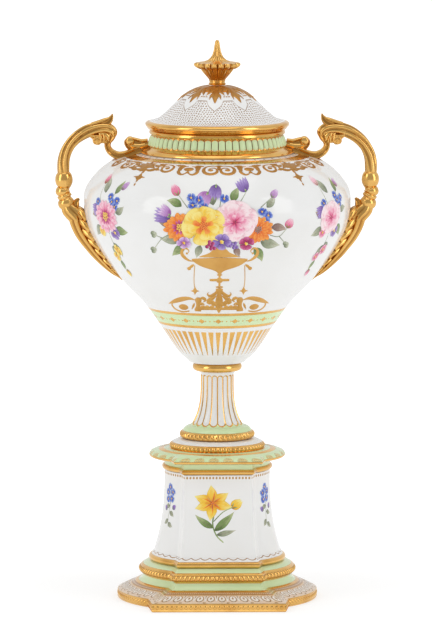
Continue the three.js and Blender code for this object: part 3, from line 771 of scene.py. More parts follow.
def paint_cover(tree, clouded):
    z, radius, turn = where(tree)
    # Rows of dots, each half a step on from the next and a little uneven
    row_height, pitch = 1.7, 1.95
    uneven = times(minus(grain(tree, 260, 0), 0.5), 1.6)
    up_the_dome = add(own_map(tree)[1], uneven)
    row = calc("FLOOR", calc("DIVIDE", up_the_dome, row_height))
    row_radius = calc("MULTIPLY_ADD", row, -row_height * 0.83, 45.4)
    in_row = calc("ROUND", calc("DIVIDE", times(row_radius, math.tau), pitch))
    half_step = calc("FRACT", times(row, 0.5))
    steps = add(times(turn, in_row), grain(tree, 240, 0), half_step)
    across = times(minus(calc("FRACT", steps), 0.5), pitch)
    up = times(cell(up_the_dome, row_height), pitch / row_height)
    dot = below(reach(across, up), 0.52, 0.14)
    # The dots stop at a pointed outline round the leaves; away is 0 at a leaf and 1 halfway to the next
    from_leaf = cell(add(turn, 0.5 / LEAVES + LEAF_TURN / 360), 1 / LEAVES)
    away = times(calc("ABSOLUTE", from_leaf), 2 * LEAVES)
    slope = calc("MULTIPLY_ADD", calc("MINIMUM", away, 0.46), 7.4, 318.7)
    edge = minus(z, add(slope, rise(away, 0.42, 0.66, 0.0, 2.7)))
    outline = band(edge, -0.22, 0.22, 0.1)
    dotted = times(below(edge, -0.5, 0.1), band(z, RIM_TOP + 0.3, 332, 0.1))
    # Gold on the rim and at the top, and no paint inside
    crown = above(z, CROWN_FOOT, 0.1)
    rim = below(z, RIM_TOP + 0.05, 0.05)
    outer_face = highest(above(radius, NECK_BORE, 0.1), above(z, RIM_TOP - 0.3, 0.05))
    pattern = times(highest(times(dot, dotted), outline), outer_face)
    enamel = blend_colours(pattern, clouded(WHITE), (0.27, 0.125, 0.035, 1))
    return enamel, times(highest(rim, crown), outer_face), 0.05


def map_dome(bm):
    """Gives each place on the dome its millimetres up from the rim, so that rows of dots keep their step."""
    uv = bm.loops.layers.uv.verify()
    known = {}
    for vert in bm.verts:
        r, z = math.hypot(vert.co.x, vert.co.y), vert.co.z
        key = (round(r, 2), round(z, 2))
        if key not in known:
            nearest = min(range(len(DOME_LINE)), key=lambda i: (DOME_LINE[i] - Vector((r, z))).length)
            known[key] = DOME_LENGTHS[nearest]
        for loop in vert.link_loops:
            loop[uv].uv = (0.0, known[key])


def make_cover():
    wall = 3.6
    flange = NECK_BORE - 0.9
    bore = flange - wall
    inside = [p for p in moved_in(DOME_LINE, wall) if 5.3 < p.x < bore]
    rim = [(flange, COVER_FOOT), (44.2, COVER_FOOT), (44.9, 305.4), (45.4, 306.4), (46.2, 307.2)]
    rim += [(46.5, 308.3), (46.3, 309.1), (45.6, 309.7)]
    profile = [(0.01, COVER_TOP - 4.6)] + [tuple(p) for p in reversed(inside)]
    profile += [(bore, COVER_FOOT + 1), (bore, COVER_FOOT - 6.4), (bore + 0.8, COVER_FOOT - 7)]
    profile += [(flange - 0.8, COVER_FOOT - 7), (flange, COVER_FOOT - 6.2)] + rim
    profile += [tuple(p) for p in DOME_LINE] + [(0.01, COVER_TOP)]
    bm = bmesh.new()
    turn_profile(bm, profile, 240)
    bmesh.ops.remove_doubles(bm, verts=bm.verts, dist=0.05)
    map_dome(bm)
    glaze = glazed("glazed cover", paint_cover)
    finish_piece(bm, "domed_cover", [glaze], body="cover", stands_for=["cover"])


make_cover()

# %% [markdown]
# ## The finial
#
# A fluted cup carries a whorl of eighteen round-ended petals, and a grooved spire rises out of it. The
# petals could be copies of one, but the real ones come from one mould and run into each other. So each row
# of the skin says how deep it is drawn in between two petals.
# %% Finial
PETALS = 18


def lobed(depth):
    """How deep the finial is drawn in at an angle: nothing on a petal, the whole depth between two."""

    def shape(turn, _z):
        away = abs((turn * PETALS / math.tau) % 1 - 0.5) * 2
        return depth * (1 - math.sqrt(max(0.0, 1 - away**2))) ** 0.6

    return shape


def make_finial():
    count = PETALS * 14
    cup = [(0.0, 0, 0), (5.0, 0, 0), (5.5, 0.5, 0), (5.6, 1.1, 0), (5.0, 1.6, 0), (4.9, 2.0, 0)]
    cup += [(5.4, 2.5, 0), (5.2, 3.0, 0.1), (5.6, 3.8, 0.3), (6.8, 5.2, 0.6), (8.3, 6.9, 0.9)]
    cup += [(9.7, 8.6, 1.1), (10.5, 9.8, 1.3), (11.0, 10.3, 1.5), (12.6, 10.6, 1.9)]
    whorl = [(14.2, -0.4, 2.3), (15.0, 0.6, 2.5), (15.1, 1.5, 2.4), (14.4, 2.3, 2.1), (12.4, 2.6, 1.5)]
    whorl += [(9.2, 3.0, 1.0), (6.2, 4.0, 0.8), (4.4, 5.5, 0.65), (3.2, 7.4, 0.5), (2.4, 9.8, 0.35)]
    whorl += [(1.95, 12.4, 0.2), (1.6, 14.8, 0.05), (1.4, 15.8, 0)]
    tip = [(1.2, -0.7, 0), (0.8, -0.2, 0), (0.0, 0, 0)]
    rows = []
    for height, part in ((FINIAL_FOOT, cup), (WHORL_FOOT, whorl), (SPIRE_TIP, tip)):
        rows += [(r, height + up, depth) for r, up, depth in part]
    outlines, sunk = [], []
    for r, z, depth in rows:
        shape = lobed(depth)
        outlines.append(round_outline(r, z, count, shape))
        # Between two petals the gold is browned as painted shade, by how deep the place is drawn in.
        sunk.append([shape(math.tau * i / count, z) / max(r, 4.0) for i in range(count)])
    bm = bmesh.new()
    carry_outline(bm, outlines, sunk=sunk)
    finish_piece(bm, "petalled_finial", [GOLD_WITH_GROOVE_SHADE], "cover", ["finial"])


make_finial()

# %% [markdown]
# ## The pedestal
#
# In plan the pedestal is round at its sides and squared in front and behind, with short splayed returns. A
# cylinder joined to two boxes would give these corners, but unions leave long thin faces. So the plan is
# drawn once, from the radius of the sides, half the width of a panel and the panel's distance from the axis.
# %% Plan of the pedestal
PLINTH = (65.0, 45.6, 66.8)
SCOTIA = (52.6, 33.6, 52.4)
TORUS = (51.0, 32.2, 50.2)
BEAD = (44.4, 29.0, 43.0)
DIE_LOW = (41.0, 26.4, 39.6)
DIE_HIGH = (34.3, 24.0, 33.8)
EAVE = (38.6, 26.2, 38.4)
CORONA = (44.2, 30.8, 43.9)
ARC_STEPS = 36
PANEL_STEPS = 24
RETURN_STEPS = 4
# How long the outline of the waist and of the cap's edge is, as a share of the plinth's
WAIST_SHARE = 0.62
CAP_SHARE = 0.66


def plan_outline(step, z, inset=0.0):
    """One outline of the pedestal, drawn in by the inset. A step that is only a radius gives a circle, with
    its points in line with those of the cap's edge."""
    if isinstance(step, float):
        radius = step - inset
        guide = [(x, y, math.hypot(x, y)) for x, y, _ in plan_outline(CORONA, z)]
        return [(x / length * radius, y / length * radius, z) for x, y, length in guide]
    radius, panel, reach_out = (size - inset for size in step)
    corner = math.acos(panel / radius)
    foot = radius * math.sin(corner)
    splay = min(2.2, (reach_out - foot) * 0.35)
    splayed = []
    for i in range(1, RETURN_STEPS):
        share = i / RETURN_STEPS
        splayed.append((panel - splay * share, foot + (reach_out - foot) * share))
    points = []
    for side in (1, -1):
        for i in range(ARC_STEPS + 1):
            angle = -corner + 2 * corner * i / ARC_STEPS
            points.append((side * radius * math.cos(angle), side * radius * math.sin(angle)))
        points += [(side * x, side * y) for x, y in splayed]
        for i in range(PANEL_STEPS + 1):
            across = (panel - splay) * (1 - 2 * i / PANEL_STEPS)
            points.append((side * across, side * reach_out))
        points += [(-side * x, side * y) for x, y in reversed(splayed)]
    return [(x, y, z) for x, y in points]


def between(low, high, share):
    return tuple(a + (b - a) * share for a, b in zip(low, high))


def grown(step, by):
    return tuple(size + by for size in step)


def rolled(step, bulge, low, high, steps=8):
    """Rows of a round moulding on the plan: it stands out to the step at its middle."""
    return [(step, z, -r) for r, z in half_round(0, bulge, low, high, steps)]


def hollow(low, high, low_z, high_z, steps=6):
    """Rows of a hollow moulding, upright where it is narrow and level where it is wide."""
    rows = []
    for i in range(steps + 1):
        turn = math.pi / 2 * i / steps
        narrowing = low[0] > high[0]
        across = math.sin(turn) if narrowing else 1 - math.cos(turn)
        up = 1 - math.cos(turn) if narrowing else math.sin(turn)
        rows.append((between(low, high, across), low_z + (high_z - low_z) * up, 0.0))
    return rows


def plan_skin(bm, rows):
    """Carries the pedestal's plan through rows of (step, height, inset) and back to the first row."""
    outlines = [plan_outline(*row) for row in rows + rows[:1]]
    guide = plan_outline(PLINTH, 0)
    along = running_length(guide + guide[:1])
    up = running_length([outline[0] for outline in outlines])
    carry_outline(bm, outlines, (along, up))


# %% [markdown]
# ### Base of the pedestal
#
# From the table up: a gilt edge, a slope for a border of leaves, a green hollow, a thick gilt moulding, a
# green ledge, a thin gilt moulding and the white foot of the waist. Each could be an object of its own, but
# the real base is one casting, so they are rows of one skin here.
# %% Pedestal base
def paint_base(tree, clouded):
    z = where(tree)[0]
    along = own_map(tree)[0]
    edge = below(z, PLINTH_EDGE - 0.2, 0.08)
    slope = band(z, PLINTH_EDGE - 0.2, SLOPE_TOP + 0.4, 0.05)
    up = calc("DIVIDE", minus(z, PLINTH_EDGE), SLOPE_TOP - PLINTH_EDGE)
    lines = highest(band(up, 0.93, 1.1, 0.02), band(up, 0.66, 0.70, 0.015))
    torus = band(z, TORUS_FOOT, TORUS_TOP, 0.05)
    bead = band(z, BEAD_FOOT, BEAD_TOP + 0.1, 0.05)
    # A brown band with light dots runs along the inner edge of the slope, over a tan ground
    tan, brown, light = (0.76, 0.58, 0.42, 1), (0.42, 0.22, 0.09, 1), (0.80, 0.66, 0.46, 1)
    dots = reach(cell(along, 1.66), times(minus(up, 0.81), 12))
    dotted = blend_colours(below(dots, 0.42, 0.15), brown, light)
    slope_colour = blend_colours(above(up, 0.68, 0.02), tan, dotted)
    ground = blend_colours(slope, clouded(GREEN), slope_colour)
    # A scalloped brown line hangs on the white that rises from the thin moulding
    arch = calc("ABSOLUTE", calc("COSINE", times(along, WAIST_SHARE * math.pi / 6.6)))
    from_line = minus(z, calc("MULTIPLY_ADD", arch, -1.1, BASE_TOP - 0.1))
    scallops = band(from_line, -0.25, 0.25, 0.1)
    foot_of_waist = blend_colours(scallops, clouded(WHITE), (0.36, 0.19, 0.07, 1))
    ground = blend_colours(above(z, BEAD_TOP, 0.05), ground, foot_of_waist)
    return ground, highest(edge, times(slope, lines), torus, bead), 0.1


def make_base():
    neck = grown(TORUS, -2.6)
    slope_foot, slope_head = grown(PLINTH, -1.1), grown(SCOTIA, 0.5)
    rows = [(PLINTH, 0, 1.1), (PLINTH, 0.3, 0.4), (PLINTH, 1.0, 0.1), (PLINTH, 1.5, 0.5), (PLINTH, 4.7, 0.5)]
    rows += [(PLINTH, 5.1, 0.2), (PLINTH, 5.5, 0.4), (PLINTH, PLINTH_EDGE, 1.1)]
    rows += [(between(slope_foot, slope_head, s), PLINTH_EDGE + 5.0 * s, 0) for s in (0.3, 0.6, 0.96)]
    rows += [(SCOTIA, SLOPE_TOP - 0.3, -0.4), (SCOTIA, SLOPE_TOP, 0)]
    rows += hollow(SCOTIA, neck, SLOPE_TOP, TORUS_FOOT)[1:]
    rows += rolled(grown(TORUS, -0.9), 1.7, TORUS_FOOT + 0.3, TORUS_TOP - 0.3)
    rows += [(between(neck, grown(BEAD, -2), 0.5), TORUS_TOP + 1.7, 0)]
    rows += rolled(BEAD, 1.7, BEAD_FOOT, BEAD_TOP)
    rows += [(DIE_LOW, BEAD_TOP + 0.2, -1.3), (DIE_LOW, BASE_TOP - 0.8, -0.6), (DIE_LOW, BASE_TOP, 0)]
    rows += [(DIE_LOW, BASE_TOP, 4.4), (BEAD, BEAD_FOOT, 6.4), (neck, TORUS_FOOT, 4.4)]
    rows += [(PLINTH, 4.7, 5.5), (PLINTH, 0, 5.5)]
    bm = bmesh.new()
    plan_skin(bm, rows)
    glaze = glazed("glazed base", paint_base)
    finish_piece(bm, "stepped_base", [glaze], stands_for=["pedestal_base"])


make_base()


# %% [markdown]
# ### Cut mouldings of the base
#
# The thick moulding and the edge of the plinth each carry a row of beads. Loose balls could be set side by
# side, but a mould maker cuts beads out of a roll, so they stay joined at the back. Here a roll is carried
# round the plan and drawn in between two beads.
# %% Cut mouldings
def walk_plan(step, pitch, per_unit):
    """Places along the pedestal's outline, as the point before and the share of the way to the next."""
    guide = plan_outline(step, 0)
    lengths = running_length(guide + guide[:1])
    units = round(lengths[-1] / pitch)
    places, i = [], 0
    for k in range(units * per_unit):
        want = lengths[-1] * k / (units * per_unit)
        while lengths[i + 1] < want:
            i += 1
        places.append((i, (want - lengths[i]) / (lengths[i + 1] - lengths[i])))
    return places, lengths[-1] / units


def point_on(outline, place):
    i, share = place
    return Vector(outline[i]).lerp(Vector(outline[(i + 1) % len(outline)]), share)


def cut_moulding(bm, step, bulge, low, high, pitch, depth, per_unit=8, steps=8):
    """A round moulding on the plan, cut across into beads."""
    places = walk_plan(step, pitch, per_unit)[0]
    outlines, sunk = [], []
    for r, z in half_round(0, bulge, low, high, steps):
        outer = plan_outline(step, z, -r)
        inner = plan_outline(step, z, depth - r)
        fade = math.sin(math.pi * min(max((z - low) / (high - low), 0.05), 0.95)) ** 0.5
        ring, depths = [], []
        for k, place in enumerate(places):
            across = 2 * (k % per_unit) / per_unit - 1
            cut = fade * (1 - math.sqrt(max(0.0, 1 - across * across))) ** 0.8
            ring.append(point_on(outer, place).lerp(point_on(inner, place), cut))
            # How deep a place counts as sunk, between the beads and where a bead meets the ground; the gold
            # is browned there as painted shade.
            depths.append(0.32 * max(cut, 0.9 - fade))
        outlines.append(ring)
        sunk.append(depths)
    # The back of the roll counts as sunk, so its gold is browned as painted shade.
    for z in (high, low):
        back = plan_outline(step, z, bulge + 0.4)
        outlines.append([point_on(back, place) for place in places])
        sunk.append([0.3] * len(places))
    carry_outline(bm, outlines + [outlines[0]], sunk=sunk + [sunk[0]])


def make_cut_mouldings():
    for name, step, bulge, low, high, pitch, depth in (
        ("beaded_moulding", TORUS, 1.9, TORUS_FOOT + 1.2, TORUS_TOP - 1.3, 3.1, 1.9),
        ("beaded_plinth_edge", grown(PLINTH, 0.05), 1.3, 1.6, 4.6, 3.1, 1.25),
    ):
        bm = bmesh.new()
        cut_moulding(bm, step, bulge, low, high, pitch, depth)
        finish_piece(bm, name, [GOLD_WITH_GROOVE_SHADE], sharp=math.radians(60))


make_cut_mouldings()

# %% [markdown]
# ### Waist of the pedestal
#
# The white waist swings out at its foot to meet the base, and a row of light brown dots runs under the
# gilding of the cap. The swing could be set row by row, but a power of the height gives a curve without
# bumps, and the painted flowers find the wall by the same sum.
# %% Pedestal waist
def waist(share):
    """The step of the waist at a share of its height."""
    return between(DIE_HIGH, DIE_LOW, (1 - share) ** 2.6)


def waist_at_height(z):
    return waist((z - DIE_FOOT) / (DIE_TOP - DIE_FOOT))


def paint_die(tree, clouded):
    z, radius, _ = where(tree)
    along = times(own_map(tree)[0], WAIST_SHARE)
    dots = below(reach(cell(along, 2.6), minus(z, DIE_TOP - 1.7)), 0.78, 0.16)
    dots = times(dots, above(radius, 30.6, 0.1))
    return blend_colours(dots, clouded(WHITE), (0.40, 0.22, 0.08, 1)), times(dots, 0.3), 0.04


def make_die():
    wall = 4.4
    outside = [(i / 20, 0.0) for i in range(21)]
    inside = [(share, wall) for share in (1, 0.75, 0.5, 0.3, 0.15, 0)]
    rows = [(DIE_LOW, BASE_TOP + 0.06, 0)]
    for share, inset in outside + inside:
        rows.append((waist(share), DIE_FOOT + (DIE_TOP - DIE_FOOT) * share, inset))
    bm = bmesh.new()
    plan_skin(bm, rows)
    glaze = glazed("glazed waist", paint_die)
    finish_piece(bm, "pedestal_waist", [glaze], stands_for=["pedestal_die"])


make_die()

# %% [markdown]
# ### Cap of the pedestal
#
# A gilt bead, a green hollow and an edge with a gilt lip follow the squared plan, and a round step above
# them carries the stem. A square and a round block would have to be welded. The same skin goes over both
# instead: above the edge its points move in onto a circle.
# %% Pedestal cap
def paint_cap(tree, clouded):
    z, radius, _ = where(tree)
    fillet = below(z, COVE_FOOT + 0.1, 0.05)
    lip = band(z, CORONA_FOOT - 0.25, CORONA_FOOT + 1.7, 0.06)
    # Small sprigs of gold leaf over the green edge, above the gilt lip
    across = cell(own_map(tree)[0], 9.45 / CAP_SHARE)
    up = minus(z, CORONA_FOOT + 1.4)
    sprig = reach(times(across, 0.25), times(minus(up, 1.0), 0.9))
    frond = calc("SINE", times(add(across, times(up, 1.4)), 4.6))
    sprigs = times(below(sprig, 1.25, 0.25), above(frond, -0.15, 0.2))
    # A gilt line on the ledge, and gold behind the ring of beads
    line = times(band(radius, 34.4, 38.0, 0.1), above(z, DRUM_FOOT - 0.8, 0.1))
    drum = times(band(z, DRUM_FOOT + 0.2, DRUM_TOP - 0.05, 0.05), above(radius, 28.5, 0.1))
    gold = times(highest(fillet, lip, sprigs, line, drum), above(radius, 24.5, 0.1))
    enamel = blend_colours(above(z, DRUM_TOP - 0.1, 0.1), clouded(GREEN), clouded(WHITE))
    return enamel, gold, 0.12


def make_cap():
    wall = 4.4
    rows = rolled(grown(DIE_HIGH, 1.5), 1.5, CAP_FOOT, COVE_FOOT)
    rows += hollow(DIE_HIGH, EAVE, COVE_FOOT, CORONA_FOOT)
    rows += [(CORONA, CORONA_FOOT, 0.9), (CORONA, CORONA_FOOT + 0.5, 0.2), (CORONA, CORONA_FOOT + 1.3, 0)]
    rows += [(CORONA, 94.2, 0.2), (CORONA, CORONA_TOP, 1.1), (CORONA, 96.4, 3.2)]
    round_rows = [(36.6, 97.2), (36.2, DRUM_FOOT), (31.6, DRUM_FOOT), (29.7, 98.4), (29.7, 101.2)]
    round_rows += [(29.1, DRUM_TOP), (27.6, 102.5), (25.8, 103.5), (24.2, CAP_TOP)]
    round_rows += [(ROD_HOLE, CAP_TOP), (ROD_HOLE, PLATE_FOOT), (28.9, PLATE_FOOT)]
    rows += [(radius, z, 0) for radius, z in round_rows]
    rows += [(DIE_HIGH, COVE_FOOT, wall), (DIE_HIGH, CAP_FOOT, wall)]
    bm = bmesh.new()
    plan_skin(bm, rows)
    glaze = glazed("glazed cap", paint_cap)
    finish_piece(bm, "stepped_cap", [glaze], stands_for=["pedestal_cap"])


def make_bead_ring():
    """The ring of gilt beads round the step."""
    beads = 60
    count = beads * 10
    low, high = DRUM_FOOT + 0.2, DRUM_TOP - 0.4
    outer = cut_ring(31.0, 2.0, low, high, beads, count, cut=0.5)
    inner = [round_outline(29.2, z, count) for z in (high, low)]
    bm = bmesh.new()
    carry_outline(bm, outer + inner + [outer[0]])
    finish_piece(bm, "beaded_ring_of_the_cap", [BURNISHED_GOLD])


make_cap()
make_bead_ring()

# %% [markdown]
# ## The handles
#
# Each handle is one gilded casting: a grooved arm with a pointed ear and a curled head, a ribbon that runs
# down to a rolled button at the neck, three knops, and a long leaf against the bowl. It could be sculpted,
# but its maker built it up from bars, bent, grooved and pressed together, and so does this lesson.
# %% Sections of the bars
def grooved(ribs, depth):
    """A section with long grooves, fading out at both ends of the bar."""

    def section(angle, share):
        fade = math.sin(math.pi * min(max(share, 0.04), 0.96)) ** 0.4
        factor = 1 - depth * fade * (0.5 - 0.5 * math.cos(ribs * angle)) ** 2
        return factor * math.cos(angle), factor * math.sin(angle)

    return section


def twisted(ribs, depth):
    """Like the grooved section, with the grooves turning slowly round the bar."""
    straight = grooved(ribs, depth)

    def section(angle, share):
        factor = math.hypot(*straight(angle + 1.6 * share, share))
        return factor * math.cos(angle), factor * math.sin(angle)

    return section


def railed(angle, share):
    """A section with a hollow face in front and behind, between two raised edges, the same all along."""
    across = math.cos(angle)
    squared = math.copysign(abs(across) ** 0.8, across)
    hollow_face = 1 - 0.45 * math.exp(-((across / 0.42) ** 2))
    return squared, math.sin(angle) * hollow_face


# %% [markdown]
# ### Arm and knops
#
# The arm swings out from the curled head and down to the knops, and the ear points up from its top. The
# knops could be spun, but they lean with the arm. A bar whose thickness changes from station to station
# gives both the lean and the beads.
# %% Arm and knops
def draw_arm(bm):
    arm = [
        (99.1, 0, 273.0, 3.6, 3.9), (99.3, 0, 279.5, 4.0, 4.2), (99.0, 0, 285.0, 4.0, 4.3),
        (97.6, 0, 290.0, 4.0, 4.3), (94.8, 0, 295.0, 4.0, 4.3), (90.4, 0, 299.5, 4.1, 4.4),
        (85.2, 0, 302.8, 4.3, 4.5), (79.6, 0, 304.8, 4.3, 4.5), (74.4, 0, 305.5, 4.2, 4.4),
        (70.4, 0, 304.9, 3.9, 4.2), (67.4, 0, 303.0, 3.3, 3.9), (66.6, 0, 300.4, 2.0, 3.4),
    ]
    draw_bar(bm, arm, twisted(6, 0.26), 6, 48)
    ear = [(80.4, 0, 306.4, 3.0, 3.8), (75.4, 0, 308.0, 3.0, 3.6), (71.4, 0, 309.4, 3.0, 3.2)]
    ear += [(69.2, 0, 311.0, 2.2, 2.4), (68.0, 0, 313.0, 1.2, 1.4), (67.5, 0, 314.8, 0.3, 0.4)]
    draw_bar(bm, ear, railed, 5, 24)
    knops = [
        (99.2, 0, 277.0, 3.9, 4.1), (99.1, 0, 275.7, 4.9, 4.9), (99.0, 0, 273.9, 5.5, 5.5),
        (98.9, 0, 271.8, 5.7, 5.7), (98.9, 0, 269.8, 5.4, 5.4), (98.9, 0, 268.1, 4.6, 4.7),
        (99.0, 0, 266.9, 3.7, 3.8), (99.2, 0, 266.2, 4.2, 4.3), (99.4, 0, 265.3, 4.8, 4.8),
        (99.4, 0, 264.3, 5.0, 4.9), (99.2, 0, 263.4, 4.5, 4.5), (99.0, 0, 262.8, 3.9, 4.0),
        (98.8, 0, 262.3, 4.4, 4.4), (98.6, 0, 261.5, 4.8, 4.8), (98.4, 0, 260.7, 4.4, 4.4),
        (98.1, 0, 260.0, 3.9, 4.0), (97.9, 0, 259.2, 4.7, 4.7), (97.6, 0, 257.6, 5.4, 5.3),
        (97.1, 0, 255.8, 5.3, 5.2), (96.6, 0, 254.3, 4.3, 4.3), (96.2, 0, 253.4, 3.6, 3.8),
    ]
    draw_bar(bm, knops, round_section, 3, 30)


# %% [markdown]
# ### Leaf of a handle
#
# A long ribbed leaf runs down the bowl from the knops, with eight lobes at each side that get smaller
# towards its tip. It could be shrunk onto the bowl with a modifier, but that would flatten its ridge. Its
# stations ask the bowl for its radius at their height instead.
# %% Leaf of a handle
LOBES = ((253.5, 7.6), (247.0, 8.4), (240.5, 8.0), (234.0, 7.2), (227.5, 6.2), (221.0, 5.0), (215.2, 3.6))
LOBES += ((210.6, 2.2),)


def leaf_stations():
    """The long leaf down the bowl: height, and how far its ridge stands out from the bowl."""
    rows = [(97.2, 0, 256.2, 4.2, 4.4), (95.2, 0, 252.8, 5.6, 5.8)]
    outline = ((248.2, 11.6), (244.6, 11.2), (240, 10.7), (235, 10.1), (230, 9.0), (225, 8.0))
    outline += ((220, 6.6), (215.4, 5.0), (212, 3.4), (209.4, 1.6))
    for z, proud in outline:
        rows.append((bowl_at_height(z) + proud / 2 - 0.2, 0, z, proud / 2 + 0.2, 2.4 + proud * 0.42))
    return rows + [(bowl_at_height(206.9) + 0.3, 0, 206.9, 0.4, 0.6)]


def draw_lobe(bm, side, z, size):
    """One lobe of the leaf, from its ridge out over the bowl, with the tip curled up a little."""
    top, middle, low = (bowl_at_height(z - size * share) for share in (0.0, 0.4, 0.8))
    thick = 0.2 + size / 4
    stations = [
        (top + size * 0.85, side * 0.6, z + 1.0, thick * 0.5, thick * 0.5),
        (top + size * 0.44, side * size * 0.45, z - size * 0.1, thick, thick),
        (middle + size * 0.18, side * size * 0.80, z - size * 0.4, thick, thick),
        (low + size * 0.05, side * size * 0.97, z - size * 0.75, thick * 0.7, thick * 0.75),
        (low + size * 0.06, side * size * 0.90, z - size * 1.08, thick * 0.25, thick * 0.3),
    ]
    draw_bar(bm, stations, round_section, 4, 12)


def draw_handle_leaf(bm):
    draw_bar(bm, leaf_stations(), grooved(7, 0.24), 6, 42)
    for side in (1, -1):
        for z, size in LOBES:
            draw_lobe(bm, side, z, size)
    # The leaf's upper tip curls away behind the lowest knop
    tip = [(91.6, 0, 250.5, 2.2, 3.2), (91.2, 0, 254.8, 2.2, 3.4), (90.8, 0, 258.0, 1.9, 3.0)]
    draw_bar(bm, tip + [(89.2, 0, 260.0, 0.8, 1.6)], railed, 5, 18)


# %% [markdown]
# ### Ribbon and button
#
# From the curled head the ribbon runs down and in to the neck, where its end is rolled back over a button.
# A spiral tool would draw the roll as one even curve; a few stations give the uneven hook that a hand
# rolls.
# %% Ribbon and button
BUTTON = (56.2, 297.2)
CURL = (77.4, 297.6)


def draw_roll(bm, centre, rounds):
    """A short round roll that lies from front to back, with its rounded end as places and radii."""
    x, z = centre
    places = [(-y, r) for y, r in rounds] + [(0, 3.1)] + list(reversed(rounds))
    draw_bar(bm, [(x, y, z, r, r) for y, r in places], round_section, 2, 24)


def draw_ribbon(bm):
    ribbon = [
        (66.8, 0, 303.0, 2.6, 3.7), (68.2, 0, 299.6, 2.4, 3.7), (70.2, 0, 296.8, 2.2, 3.8),
        (70.7, 0, 293.8, 2.2, 3.9), (69.1, 0, 290.6, 2.4, 3.9), (66.2, 0, 288.6, 2.6, 3.9),
        (62.8, 0, 287.6, 2.8, 3.9), (58.2, 0, 288.5, 2.7, 3.9), (53.2, 0, 290.6, 2.7, 3.8),
        (44.4, 0, 293.4, 2.9, 3.6),
    ]
    draw_bar(bm, ribbon, railed, 6, 32)
    hook = [(44.6, 0, 296.4, 2.4, 3.4), (49.0, 0, 296.0, 2.5, 3.5), (53.0, 0, 297.0, 2.4, 3.5)]
    hook += [(56.4, 0, 297.6, 2.3, 3.4), (58.3, 0, 296.4, 1.9, 3.3), (57.8, 0, 294.2, 1.7, 3.2)]
    draw_bar(bm, hook + [(55.8, 0, 292.0, 1.6, 3.0)], railed, 5, 26)
    # A filling between hook and ribbon, so that no hole is left
    filling = [(56.8, 0, 294.8, 1.6, 3.1), (53.6, 0, 293.9, 2.3, 3.3), (50.0, 0, 293.9, 2.3, 3.3)]
    draw_bar(bm, filling + [(46.5, 0, 294.6, 2.0, 3.2)], round_section, 4, 18)
    draw_roll(bm, BUTTON, ((4.4, 0.6), (4.2, 1.8), (3.4, 2.7)))


# %% [markdown]
# ### Curl under the arm
#
# A small leaf fills the corner under the arm, and a rolled end with a ring and a boss in its eye lies in
# front of it. One carved block could stand for it all, but short bars that overlap look like one casting
# once they share a finish.
# %% Curl and whole handle
def draw_curl(bm):
    leaf = [(82.4, 0, 301.4, 1.2, 3.4), (79.6, 0, 300.2, 2.4, 3.8), (76.0, 0, 299.4, 3.4, 4.0)]
    leaf += [(73.0, 0, 298.0, 3.2, 3.8), (71.2, 0, 296.2, 1.4, 3.2)]
    draw_bar(bm, leaf, grooved(5, 0.25), 5, 24)
    filling = [(76.4, 0, 302.2, 2.0, 3.2), (72.8, 0, 301.6, 2.7, 3.4), (70.6, 0, 299.6, 2.5, 3.4)]
    draw_bar(bm, filling + [(69.8, 0, 297.4, 1.4, 3.0)], round_section, 4, 18)
    draw_roll(bm, CURL, ((4.3, 0.8), (4.1, 1.9), (3.4, 2.7)))
    x, z = CURL
    for side in (1, -1):
        turns = [a / 2 for a in range(-2, 10)]
        ring = [(x + 2.3 * math.cos(a), side * 3.9, z + 2.3 * math.sin(a), 0.7, 0.7) for a in turns]
        draw_bar(bm, ring, round_section, 2, 10)
        boss = [(x, side * y, z, r, r) for y, r in ((3.6, 1.0), (4.8, 0.9), (5.1, 0.3))]
        draw_bar(bm, boss, round_section, 2, 12)
        for at in (75.0, 72.8):
            strand = [(at + 0.8, side * 3.2, 302.2, 0.6, 0.6), (at, side * 4.2, 299.4, 1.0, 0.9)]
            draw_bar(bm, strand + [(at + 0.2, side * 3.6, 296.2, 0.6, 0.6)], round_section, 4, 10)


def make_handle(name, node_name, turn):
    """The right handle, turned so far about the axis of the vase."""
    bm = bmesh.new()
    draw_arm(bm)
    draw_handle_leaf(bm)
    draw_ribbon(bm)
    draw_curl(bm)
    bmesh.ops.rotate(bm, verts=bm.verts, cent=(0, 0, 0), matrix=Matrix.Rotation(turn, 3, "Z"))
    soft = math.radians(60)
    finish_piece(bm, name, [GOLD_WITH_GROOVE_SHADE], stands_for=[node_name], sharp=soft)


make_handle("right_scroll_handle", "right_handle", 0)
make_handle("left_scroll_handle", "left_handle", math.pi)

# %% [markdown]
# ## Laying ornament on a turned surface
#
# Raised gilding and enamel painting are laid on with a brush. As a picture on the glaze they would have no
# edge for the light to catch. Here one brush mark is a narrow sheet along a path, as wide as the brush is
# pressed, laid on the curved wall a hair above the glaze.
# %% Places on a wall
def on_wall(line, lengths, turn=0.0, mirror=1):
    """Lays a point on a turned wall: degrees round from the middle, millimetres up the wall, and a lift."""

    def lay(across, up, lift):
        i = 1
        while i < len(lengths) - 1 and lengths[i] < up:
            i += 1
        run = line[i] - line[i - 1]
        share = (up - lengths[i - 1]) / (lengths[i] - lengths[i - 1])
        here = line[i - 1] + run * share
        run.normalize()
        r, z = here.x + run.y * lift, here.y - run.x * lift
        angle = math.radians(across * mirror + turn)
        return Vector((r * math.sin(angle), -r * math.cos(angle), z))

    return lay


def on_front(radius_at, turn=0.0, mirror=1):
    """Lays a flat design on a turned wall as if it were held up in front of it: sideways and height in
    millimetres, and a lift."""
    spin = Matrix.Rotation(math.radians(turn), 3, "Z")

    def lay(across, z, lift):
        radius = radius_at(z) + lift
        x = across * mirror
        return spin @ Vector((x, -math.sqrt(max(radius * radius - x * x, 0.0)), z))

    return lay


